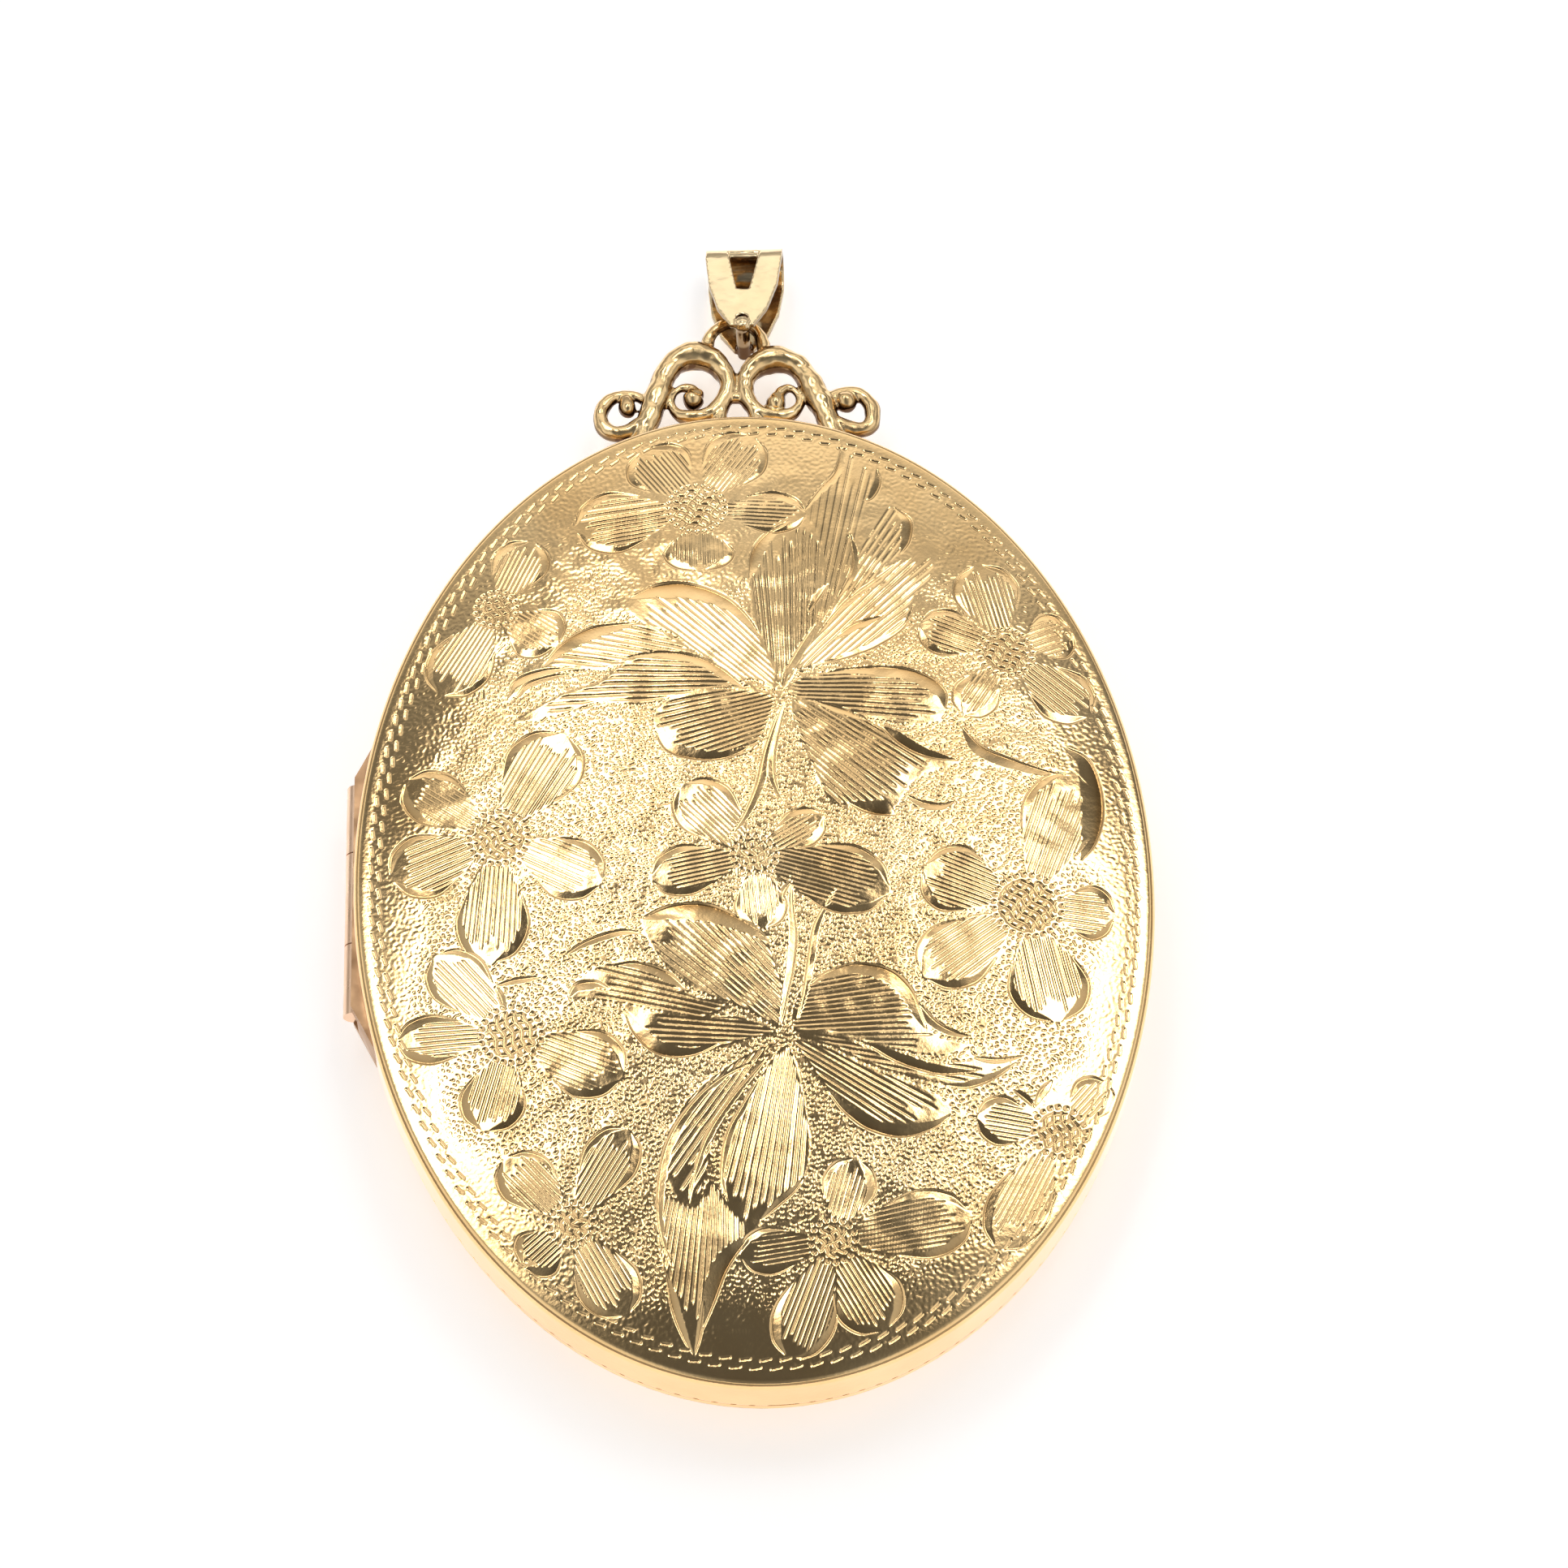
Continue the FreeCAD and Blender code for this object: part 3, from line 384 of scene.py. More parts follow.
LEAVES = (
    # the upper spray
    ((1.8, 9.3), (1.8, 18.8), (1.7, 9.4), (1.1, 10.9), (0.5, 12.7), (0.2, 14.5), (0.2, 16.2), (0.7, 18),
     (1.8, 19.1), (3, 19.5), (3.7, 18.3), (3.9, 16), (3.5, 13.3), (2.7, 11.3)),
    ((2.7, 11), (5.1, 23.9), (3, 11.7), (3.5, 13.7), (3.9, 16.3), (3.5, 18.5), (3, 19.6), (3.9, 21.1),
     (4.7, 22.3), (5, 23.9), (5.9, 22.9), (6.6, 22), (6.3, 20.5), (5.8, 18.8), (5.5, 17.3), (4.9, 15.7),
     (3.8, 13.3)),
    ((3, 11.5), (8.2, 19.7), (3, 11.7), (3.9, 13.3), (4.9, 15.6), (5.6, 17.3), (6.3, 18.9), (7.3, 20.1),
     (8.2, 19.2), (8.2, 18), (7.3, 16.7), (6.3, 15.6), (5.1, 14.3), (3.7, 12.3)),
    ((2, 10), (9.3, 17.8), (2.3, 10.6), (3.3, 12.4), (4.8, 14.3), (6.3, 15.6), (8, 16.8), (9.3, 18),
     (9.3, 16), (8.3, 14.5), (7.7, 13), (6.3, 11.8), (4.7, 11.1), (3, 10.6)),
    ((1.8, 9.1), (9.5, 8.7), (1.8, 9.2), (2.7, 10.1), (4.3, 10.3), (6.3, 10.5), (8, 10.3), (9.1, 9.7),
     (9.6, 8.7), (9.3, 7.7), (8.3, 7.3), (6.7, 7.5), (4.7, 7.8), (3.2, 8.4)),
    ((1.9, 8.8), (8.3, 3.7), (2, 8.7), (3.3, 8.5), (4.8, 8), (6.3, 7.1), (7.2, 6.3), (8.6, 5.7),
     (10, 5.3), (8.7, 4.7), (7.7, 4.2), (6.7, 2.7), (5.3, 3), (3.8, 3), (3, 4.7), (2.3, 6.7)),
    ((1.5, 8.8), (-4.4, 7.3), (1.3, 8.8), (0.3, 9.3), (-1.3, 9.4), (-3.2, 9.2), (-4.5, 8.4), (-4.6, 7.3),
     (-4, 6.3), (-2.7, 5.6), (-1.2, 5.5), (0.2, 6.1), (0.8, 7.3)),
    ((1.3, 9), (-10, 8.7), (0.3, 9.3), (-0.5, 10.1), (-1.5, 11), (-3, 11.5), (-4.7, 11.5), (-6.2, 10.9),
     (-7.2, 10), (-9, 9.4), (-11.3, 8), (-9, 8.3), (-7.3, 8.9), (-5.3, 8.7), (-3.3, 9.1), (-1.3, 9.5)),
    ((0, 9.3), (-10.3, 11), (-1.3, 10.3), (-2.7, 11.3), (-4.3, 11.5), (-5.7, 11.1), (-7, 10.8),
     (-9, 10.7), (-10.5, 10.1), (-11.7, 9.3), (-11, 10.7), (-9.7, 11.7), (-8.5, 12.7), (-7, 13.2),
     (-5.3, 13.3), (-4, 12.7), (-2.3, 11.3)),
    ((1.5, 9.2), (-4.3, 15), (1.3, 9.3), (0.4, 9.9), (-0.7, 10), (-2.3, 11.4), (-3.7, 12.7), (-4.9, 13.2),
     (-5.7, 14), (-5.7, 14.8), (-4.3, 15.5), (-2.7, 15.5), (-1, 14.7), (0, 13.6), (0.7, 12), (1.3, 10.3)),
    # the lower spray
    ((1.1, -8.8), (-5, -2.9), (0.9, -8.7), (-0.7, -7.7), (-2.7, -6.8), (-4.1, -5.7), (-4.9, -4.5),
     (-5.3, -3.5), (-5.3, -2.7), (-4, -2.2), (-2, -2.4), (-0.3, -3.2), (0.5, -4.2), (0.9, -5.7),
     (1.3, -7.3)),
    ((0, -8.3), (-8.5, -6), (-1.3, -7.3), (-3, -7), (-4, -6.2), (-5.3, -5.2), (-7.2, -5.2), (-8.5, -6),
     (-8.9, -6.8), (-7.7, -7), (-6, -7.3), (-4.3, -7.8), (-2.7, -8.1)),
    ((1, -9), (-6, -8.3), (0.8, -8.9), (-1, -8.1), (-3, -8), (-5, -7.7), (-6.3, -7.3), (-6, -8.7),
     (-5.2, -9.6), (-3.7, -10), (-2, -9.6), (-0.3, -9.2)),
    ((1.4, -8.9), (8, -8.7), (1.5, -8.8), (1.8, -7), (3, -5.9), (4.7, -5.5), (6.2, -5.8), (7.1, -6.8),
     (7.6, -8.3), (8.3, -9.3), (9.7, -9.7), (8.3, -10.2), (6.3, -9.9), (4.7, -9.5), (3, -9)),
    ((1.5, -9.1), (11.3, -10.6), (1.7, -9.1), (3.3, -9), (4.8, -9.7), (6.3, -10.4), (8.3, -10.6),
     (10.2, -10.4), (12.2, -10.2), (10.8, -10.9), (9.8, -11.7), (8.3, -11.6), (6.7, -11.2), (5, -10.6),
     (3.3, -9.7)),
    ((1.4, -9.2), (7.7, -13.3), (1.5, -9.3), (3, -9.7), (4.7, -10.6), (6.3, -11.3), (7.7, -12),
     (8.7, -13), (7.7, -13.9), (6.3, -14.3), (4.8, -14), (3.7, -13.1), (2.9, -11.7), (2.1, -10.4)),
    ((1.2, -9.4), (-0.5, -18.3), (1.2, -9.5), (1.7, -11), (2, -12.8), (2.1, -14.7), (1.8, -16.1),
     (1, -17.2), (0, -18), (-0.8, -18.8), (-1.5, -17.7), (-2, -16.1), (-1.7, -14), (-0.8, -12.3),
     (0.1, -10.8)),
    ((1, -9.3), (-3.7, -16.7), (0.9, -9.4), (-0.1, -10.3), (-1.3, -12), (-2.2, -14), (-2.7, -16),
     (-3.2, -17.3), (-4, -17), (-4.6, -15.3), (-4.3, -13.7), (-3.3, -12), (-1.8, -10.7), (-0.3, -9.8)),
    ((-2.7, -16.3), (-3.4, -23), (-3.2, -17.3), (-2.5, -16.1), (-1.7, -17.3), (-0.8, -18.8), (-2, -20.4),
     (-2.7, -22), (-3.2, -23.3), (-4, -22), (-4.6, -20.7), (-4.9, -19), (-4.6, -17), (-4, -17)),
)

# A single cut is a run of points, the facet's width, its side (1 left of the run) and its widest share.

STROKES = (
    (((-5.7, 14.8), (-4.3, 15.5), (-2.7, 15.5), (-1, 14.7), (0, 13.6), (0.7, 12.3)), 0.9, -1, 0.3),
    (((-10, 11), (-9, 12.3), (-7.7, 13.1), (-6.3, 13.3), (-5.3, 13.3)), 0.7, -1, 0.5),
    (((-6.3, 11.2), (-5.3, 11.5), (-4, 11.6), (-2.5, 11.3), (-1.3, 10.6), (-0.1, 9.4)), 0.5, -1, 0.75),
    (((-11.7, 9.3), (-11.3, 10.3), (-10, 10.8), (-8.5, 10.9)), 0.4, -1, 0.4),
    (((-11.3, 9.2), (-10.7, 10.1), (-9.3, 10.5), (-8.3, 10.5)), 0.3, -1, 0.4),
    (((-4.6, 7.2), (-4, 6.1), (-2.7, 5.6), (-1.2, 5.6), (0.2, 6.3)), 0.6, 1, 0.3),
    (((3.3, 10.2), (5.3, 10.5), (7.3, 10.5), (8.7, 10), (9.5, 9.2), (9.5, 8.2)), 0.7, -1, 0.75),
    (((3, 8.7), (4.5, 8.2), (5.7, 7.5)), 0.35, -1, 0.5),
    (((6.3, 7.2), (7.1, 6.3), (8, 5.7), (9, 5.4), (10, 5.3)), 0.55, 1, 0.3),
    (((7.3, 3.4), (8.2, 3), (9, 2.9), (9.7, 3.1)), 0.4, -1, 0.5),
    (((4.5, 3), (5.5, 2.5), (6.8, 2.3)), 0.8, 1, 0.7),
    (((10.2, 7.2), (11.2, 6), (12.7, 5.3), (14, 4.8), (15.3, 4.5)), 0.6, -1, 0.3),
    (((15, 6.2), (16.2, 5.5), (16.7, 4), (16.7, 2.3), (16.2, 0.8), (15.5, -0.1)), 1.1, -1, 0.6),
    (((0.2, 15.7), (0.4, 17.3), (1.1, 18.4), (2.3, 19.2)), 0.6, -1, 0.4),
    (((5.1, 23.9), (4.9, 22.8), (4.6, 22), (3.8, 21), (3, 19.7)), 0.35, 1, 0.4),
    (((6.8, 22.4), (6.9, 21.5), (6.5, 20.6), (6, 20.3)), 0.35, -1, 0.5),
    (((5.1, 18.8), (5.3, 17.7), (5.3, 16.3), (4.5, 14.5)), 0.3, 1, 0.5),
    (((7.5, 20), (8.3, 19.2), (8.2, 18), (7.7, 17.1)), 0.55, -1, 0.5),
    (((3, 13.6), (3.5, 14.5), (4.1, 15.4)), 0.3, 1, 0.5),
    (((1.6, 9.3), (1.8, 10.3), (2.3, 11.3), (3, 12.5), (3.4, 13.1)), 0.35, -1, 0.6),
    (((4.2, 12.1), (5.2, 13), (6.7, 13.5)), 0.4, -1, 0.5),
    (((3, 10.6), (4.7, 11.1), (6.3, 11.8), (7.7, 12.9), (8.3, 14.3)), 0.3, 1, 0.5),
    (((3.4, 12.4), (4.8, 14.2), (6.3, 15.5), (7.8, 16.8)), 0.25, -1, 0.5),
    (((1.7, 8.9), (1.1, 7.3), (0.6, 5.7), (0.2, 4), (-0.5, 2.3), (-1.3, 1.1)), 0.4, 1, 0.55),
    (((1.8, 8.8), (1.4, 7.2), (1.1, 5.7), (1.1, 4.3), (1.5, 3)), 0.35, -1, 0.6),
    (((-5.4, -2.9), (-4, -2.3), (-2.3, -2.3), (-0.7, -3.1), (0.4, -4), (0.8, -4.6)), 0.95, -1, 0.35),
    (((-6.8, -5.3), (-5.7, -5.2), (-4.3, -5.7), (-3.3, -6.7)), 0.5, -1, 0.6),
    (((-8.9, -6.9), (-8.5, -6.2), (-7.6, -6.1), (-6.9, -6.5)), 0.45, -1, 0.5),
    (((-6.3, -7.5), (-5.8, -8.8), (-4.8, -9.8), (-3.3, -10), (-1.8, -9.4)), 0.65, 1, 0.4),
    (((2.1, -6.8), (3.2, -5.9), (4.7, -5.5), (6.2, -5.9), (7.1, -6.9), (7.5, -8.2), (7.7, -8.9)),
      0.75, -1, 0.65),
    (((7.3, -7.4), (8.2, -8.5), (9, -9), (9.9, -9.3)), 0.4, -1, 0.4),
    (((4.9, -9.6), (6.3, -10.5), (8, -11.1), (9.3, -11.1), (10.2, -10.9)), 0.5, 1, 0.4),
    (((9.7, -10.3), (11, -10.4), (12.3, -10.2)), 0.25, -1, 0.4),
    (((11.9, -10.5), (10.8, -11.3), (9.5, -11.8), (8.3, -11.7)), 0.3, -1, 0.5),
    (((2.9, -11.7), (3.7, -12.9), (4.8, -13.8), (6.3, -14.2), (7.8, -13.8), (8.7, -13.1)), 0.6, 1, 0.45),
    (((1.8, -16.1), (1.3, -16.8), (0.5, -17.5), (-0.3, -18.2)), 0.3, -1, 0.5),
    (((0.1, -10.8), (-0.8, -12.3), (-1.7, -14), (-2, -16.1), (-1.7, -17.3)), 0.3, 1, 0.5),
    (((-0.7, -18.8), (-1.8, -20.3), (-2.5, -22), (-3.1, -23.4)), 0.75, -1, 0.4),
    (((-4.6, -20.5), (-4.3, -22.3), (-3.8, -23.7), (-3.4, -24.4)), 0.35, 1, 0.4),
    (((-2.9, -21.7), (-3.1, -23.3), (-3.4, -24.4)), 0.2, -1, 0.5),
    (((0, -10.2), (-2, -11.2), (-3.5, -12.7), (-4.5, -14.5), (-4.9, -16.7), (-4.8, -18.7),
      (-4.2, -20.6)), 0.4, 1, 0.5),
    (((0.5, -9.9), (-1.3, -12), (-2.6, -14), (-3.3, -16.1), (-3.5, -17.3)), 0.3, 1, 0.5),
    (((0.9, -8.7), (1.3, -7), (1.6, -5.7), (1.8, -4), (1.7, -2.5), (1.7, -0.7)), 0.35, 1, 0.5),
    (((1.7, -8.5), (2.1, -6.8), (2.4, -5), (2.7, -3.5), (3.3, -2.3), (3.9, -1.4)), 0.35, -1, 0.5),
    (((1.3, -2.6), (1.3, -1.8), (1.7, -1.1)), 0.3, 1, 0.5),
    (((-9.2, -4.8), (-8, -4), (-6.3, -3.5), (-5.1, -3.8)), 0.35, -1, 0.5),
    (((-12.3, -6.1), (-11.3, -5.8), (-10, -5.7)), 0.3, -1, 0.5),
    (((-12.2, -6.1), (-12, -6.7), (-11.8, -7.3)), 0.25, 1, 0.5),
    (((11.5, -11.9), (12.1, -12.4), (12.5, -12.8)), 0.3, 1, 0.5),
    (((12.5, -12.8), (12.8, -12), (13.4, -11.4)), 0.35, -1, 0.6),
)


def engrave():
    """The whole engraving of the face."""
    relief = Relief()
    for centre, radius, petals in FLOWERS:
        for x, y, half_width in petals:
            relief.petal(centre, radius * 0.9, (x, y), half_width)
    for base, tip, *outline in LEAVES:
        smooth = smooth_curve(outline, closed=True)
        relief.hatch(smooth, base, tip, end=0.97, depth=LEAF_HATCH_DEPTH, spread=14.0, swell=0.006)
    for centre, radius, _ in FLOWERS:
        relief.beads(centre, radius, relief.random.uniform(0.3, 1.2))
    for points, width, facet, peak in STROKES:
        relief.stroke(points, width, CUT_DEPTH + CUT_STEEPNESS * width, facet, peak)
    relief.matte_ground()
    relief.border()
    return relief


# The front cover: the dome with its relief, the rolled rim, the wall and the plain inside.


def dome_level(x, y):
    """Height of the plain dome above the table, over the oval's plane."""
    reach = (1 - DOME_FLAT**2) * ((x / HALF_WIDTH) ** 2 + (y / HALF_LENGTH) ** 2)
    return DOME_TOP - DOME_FULLNESS + DOME_FULLNESS * np.sqrt(np.clip(1 - reach, 0, 1))


def sample(values, relief, x, y):
    """Values of a map of the relief at some places, straight between its cells."""
    column = np.clip((x - relief.x[0]) / RELIEF_PITCH, 0, len(relief.x) - 1.001)
    row = np.clip((y - relief.y[0]) / RELIEF_PITCH, 0, len(relief.y) - 1.001)
    c, r = column.astype(int), row.astype(int)
    u, v = column - c, row - r
    low = values[r, c] * (1 - u) + values[r, c + 1] * u
    high = values[r + 1, c] * (1 - u) + values[r + 1, c + 1] * u
    return low * (1 - v) + high * v


def grid_quads(numbers):
    """Quads between the vertices of a grid."""
    corners = (numbers[:-1, :-1], numbers[:-1, 1:], numbers[1:, 1:], numbers[1:, :-1])
    return np.stack(corners, axis=-1).reshape(-1, 4)


def face_grid():
    """A grid bent to fill the unit disc evenly: its places, its quads and the vertices round its edge."""
    u, v = np.meshgrid(np.linspace(-1, 1, FACE_COLUMNS), np.linspace(-1, 1, FACE_ROWS))
    disc_x = u * np.sqrt(1 - v * v / 2)
    disc_y = v * np.sqrt(1 - u * u / 2)
    numbers = np.arange(u.size).reshape(u.shape)
    edge = np.concatenate([numbers[0, :-1], numbers[:-1, -1], numbers[-1, :0:-1], numbers[:0:-1, 0]])
    return disc_x.ravel(), disc_y.ravel(), grid_quads(numbers), edge


def mesh_object(name, vertices, quads, attributes=None, triangles=None):
    """A smooth-shaded mesh from millimetre vertices."""
    mesh = bpy.data.meshes.new(name)
    faces = [quads] if triangles is None else [quads, triangles]
    corners = np.concatenate([f.ravel() for f in faces])
    totals = np.concatenate([np.full(len(f), f.shape[1]) for f in faces])
    mesh.vertices.add(len(vertices))
    mesh.vertices.foreach_set("co", (np.asarray(vertices) * MM).astype(np.float32).ravel())
    mesh.loops.add(len(corners))
    mesh.loops.foreach_set("vertex_index", corners.astype(np.int32))
    mesh.polygons.add(len(totals))
    mesh.polygons.foreach_set("loop_start", np.concatenate([[0], np.cumsum(totals)[:-1]]).astype(np.int32))
    mesh.update(calc_edges=True)
    for key, values in (attributes or {}).items():
        layer = mesh.attributes.new(key, "FLOAT", "POINT")
        layer.data.foreach_set("value", np.asarray(values, np.float32))
    mesh.shade_smooth()
    made = bpy.data.objects.new(name, mesh)
    bpy.context.scene.collection.objects.link(made)
    return made


def bands(loops):
    """Quads between each closed loop of vertices and the next."""
    pairs = zip(loops[:-1], loops[1:])
    return np.vstack([np.stack([a, np.roll(a, -1), np.roll(b, -1), b], axis=1) for a, b in pairs])


def oval(inset, angle):
    """Places on the case's oval, drawn in by an inset."""
    return (HALF_WIDTH - inset) * np.cos(angle), (HALF_LENGTH - inset) * np.sin(angle)


def cover_shell(angle, tilt):
    """The cover below its face, as rings: the rolled rim, both sides of the wall and the dome's inside."""
    rings = []

    def ring(x, y, level):
        rings.append(np.stack([x, y, np.broadcast_to(level, angle.shape)], axis=1))

    bottom = RIM_LEVEL + RIM_ROUND * np.tan(tilt) - RIM_ROUND / np.cos(tilt)
    for share in np.linspace(0, 1, 9)[1:]:
        lean = tilt.mean() + (math.pi / 2 - tilt.mean()) * share
        ring(*oval(RIM_ROUND * (1 - math.sin(lean)), angle), bottom + RIM_ROUND * math.cos(lean))
    eased = SEAM + EDGE_EASE
    for share in np.linspace(0, 1, 24)[1:-1]:
        ring(*oval(0, angle), bottom + (eased - bottom) * share)
    for inset, level in ((0, eased), (EDGE_EASE, SEAM), (SHEET - EDGE_EASE, SEAM), (SHEET, eased)):
        ring(*oval(inset, angle), level)
    x, y = oval(SHEET, angle)
    inner_top = dome_level(x, y) - SHEET
    for share in np.linspace(0, 1, 16)[1:]:
        ring(x, y, eased + (inner_top - eased) * share)
    for share in (0.98, 0.94, 0.87, 0.77, 0.64, 0.5, 0.36, 0.22, 0.1):
        ring(x * share, y * share, dome_level(x * share, y * share) - SHEET)
    return rings


def front_cover(relief):
    """The engraved front cover as one closed shell."""
    disc_x, disc_y, quads, edge = face_grid()
    angle = np.arctan2(disc_y[edge], disc_x[edge])
    steep = DOME_FULLNESS * (1 - DOME_FLAT**2) / DOME_FLAT
    tilt = np.arctan(steep * np.hypot(np.cos(angle) / HALF_WIDTH, np.sin(angle) / HALF_LENGTH))
    inset = (RIM_ROUND * (1 - np.sin(tilt))).mean()
    x = disc_x * (HALF_WIDTH - inset)
    y = disc_y * (HALF_LENGTH - inset)
    fine = np.where(relief.cuts < -CUT_START, 0, relief.lines)
    height = relief.swell + (relief.cuts + fine)
    # The relief fades out where the rim begins.
    fade = smoothstep(0, 0.03, 1 - np.hypot(disc_x, disc_y))
    z = dome_level(x, y) + (sample(height, relief, x, y) - relief.swell.max()) * fade
    rings = cover_shell(angle, tilt)
    loops = x.size + np.arange(len(rings) * len(angle)).reshape(len(rings), -1)
    quads = np.vstack([quads, bands([edge, *loops])[:, ::-1]])
    middle = np.full(len(angle), x.size + loops.size)
    triangles = np.stack([loops[-1], middle, np.roll(loops[-1], -1)], axis=1)
    vertices = np.vstack([np.stack([x, y, z], axis=1), *rings, [0, 0, DOME_TOP - SHEET]])
    vertices = open_hinge_well(vertices) + np.array(CENTRE)
    looks = {"ground": np.zeros(len(vertices)), "cut": np.zeros(len(vertices))}
    looks["ground"][: x.size] = sample(relief.matte, relief, x, y)
    # The cut share darkens the deepest cuts as painted shade.
    looks["cut"][: x.size] = np.clip(-sample(relief.cuts, relief, x, y) / CUT_SHADE_DEPTH, 0, 1)
    return mesh_object("front_cover_engraved", vertices, quads, looks, triangles)


def open_hinge_well(vertices):
    """Lifts the wall's lower edge off the hinge tubes, which lie along Y at the seam."""
    x = vertices[:, 0] + HALF_WIDTH
    z = vertices[:, 2] - SEAM
    near = (np.abs(vertices[:, 1]) < HINGE_HALF) & (np.hypot(x, z) < HINGE_WELL) & (x < HINGE_WELL)
    lifted = SEAM + np.sqrt(np.clip(HINGE_WELL**2 - x**2, 0, None))
    vertices[:, 2] = np.where(near, np.maximum(vertices[:, 2], lifted), vertices[:, 2])
    return vertices


# Worn pieces: rods and solids melted into one skin, softened, a little uneven, with painted shade in its
# recesses and on its upright sides.


def rod(stations):
    """A closed round rod through stations (x, y, z, radius) that lie in one level plane."""
    curve = smooth_curve(stations, steps=6)
    travel = np.gradient(curve[:, :3], axis=0)
    travel /= np.linalg.norm(travel, axis=1)[:, None]
    line = np.hstack([curve, travel])
    bend = np.linspace(0, math.pi / 2, 5)[1:, None]
    caps = []
    for end, sign in ((line[0], -1), (line[-1], 1)):
        places = end[:3] + sign * end[4:] * (end[3] * np.sin(bend))
        radii = end[3] * np.maximum(np.cos(bend), 0.05)
        caps.append(np.hstack([places, radii, np.repeat(end[None, 4:], len(bend), axis=0)]))
    line = np.vstack([caps[0][::-1], line, caps[1]])
    side = np.stack([line[:, 5], -line[:, 4], np.zeros(len(line))], axis=1)[:, None]
    radii = line[:, 3, None, None]
    around = np.linspace(0, 2 * math.pi, 16, endpoint=False)[None, :, None]
    up = np.array([0, 0, 1])
    return skin(line[:, None, :3] + side * (np.cos(around) * radii) + up * (np.sin(around) * radii))


def skin(rings):
    """A closed skin over rings of points: its vertices and faces."""
    count, sides = rings.shape[:2]
    faces = []
    last = (count - 1) * sides
    for low in range(0, last, sides):
        for step in range(sides):
            after = (step + 1) % sides
            faces.append((low + step, low + after, low + sides + after, low + sides + step))
    faces.append(tuple(range(sides - 1, -1, -1)))
    faces.append(tuple(range(last, last + sides)))
    return rings.reshape(-1, 3), faces


def solid_of(name):
    """A CAD node's vertices, in millimetres, and its faces."""
    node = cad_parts[name]
    vertices = np.array([node.matrix_world @ v.co for v in node.data.vertices]) / MM
    return vertices, [tuple(face.vertices) for face in node.data.polygons]


def ripple(places, size, seed):
    """Smooth random waves of about one size at some places, from about -1 to 1."""
    random = np.random.default_rng(seed)
    count = 24
    ways = random.standard_normal((count, 3))
    ways *= 2 * math.pi / size / np.linalg.norm(ways, axis=1)[:, None]
    waves = np.sin(places @ ways.T + random.uniform(0, 2 * math.pi, count))
    return waves.sum(axis=1) / math.sqrt(count) / 1.5


def recesses(vertices, quads, normals, reach):
    """How shut in each vertex is: the share of short rays from it that meet the piece again."""
    tree = BVHTree.FromPolygons(vertices.tolist(), quads.tolist())
    count = 20
    turns = np.arange(count) * math.pi * (3 - math.sqrt(5))
    levels = 1 - (2 * np.arange(count) + 1) / count
    out = np.sqrt(1 - levels**2)
    ways = np.stack([out * np.cos(turns), out * np.sin(turns), levels], axis=1)
    shut = np.zeros(len(vertices))
    for number, (place, normal) in enumerate(zip(vertices, normals)):
        start = Vector(place + normal * 0.03)
        open_ways = ways[ways @ normal > 0.25]
        hits = sum(tree.ray_cast(start, Vector(way), reach)[0] is not None for way in open_ways)
        shut[number] = hits / len(open_ways)
    return shut


def worn(name, solids, voxel, uneven, reach, side_shade, seed):
    """One worn piece from closed solids, each its vertices and faces in millimetres.

    Painted shade darkens the places where the piece itself stands within reach, and the upright sides by the
    share given for them.
    """
    vertices, faces = [], []
    start = 0
    for places, sides in solids:
        vertices.append(places)
        faces += [tuple(corner + start for corner in side) for side in sides]
        start += len(places)
    mesh = bpy.data.meshes.new(name + "_raw")
    mesh.from_pydata(np.vstack(vertices).tolist(), [], faces)
    raw = bpy.data.objects.new(name + "_raw", mesh)
    bpy.context.scene.collection.objects.link(raw)
    remesh = raw.modifiers.new("melt", "REMESH")
    remesh.mode = "VOXEL"
    remesh.voxel_size = voxel
    melted = bpy.data.meshes.new_from_object(raw.evaluated_get(bpy.context.evaluated_depsgraph_get()))
    bpy.data.objects.remove(raw)
    places = np.array([v.co for v in melted.vertices])
    quads = np.array([tuple(face.vertices) for face in melted.polygons])
    edges = np.array([tuple(edge.vertices) for edge in melted.edges])
    ends = np.concatenate([edges, edges[:, ::-1]])
    counts = np.bincount(ends[:, 0], minlength=len(places))[:, None]
    for _ in range(SOFTENING):
        sums = [np.bincount(ends[:, 0], axis[ends[:, 1]], len(places)) for axis in places.T]
        places = places + 0.5 * (np.stack(sums, axis=1) / counts - places)
    first, second, third, fourth = (places[corner] for corner in quads.T)
    across = np.cross(third - first, fourth - second)
    sums = [sum(np.bincount(corner, axis, len(places)) for corner in quads.T) for axis in across.T]
    normals = np.stack(sums, axis=1)
    normals /= np.linalg.norm(normals, axis=1)[:, None]
    height = uneven * (ripple(places, WIDE_RIPPLE, seed) + 0.3 * ripple(places, FINE_RIPPLE, seed + 1))
    places = places + normals * height[:, None]
    # Painted shade: upright sides and shut-in places get a share of darkening that stands in for the shade
    # they catch.
    sides = 1 - smoothstep(0.2, 0.8, np.abs(normals[:, 2]))
    shut = np.clip(recesses(places, quads, normals, reach) + side_shade * sides, 0, 1)
    return mesh_object(name, places, quads, {"painted_shade_share": shut})


# The gallery's wires from the case's centre: x, y and radius. The sides differ a little, as in hand work.

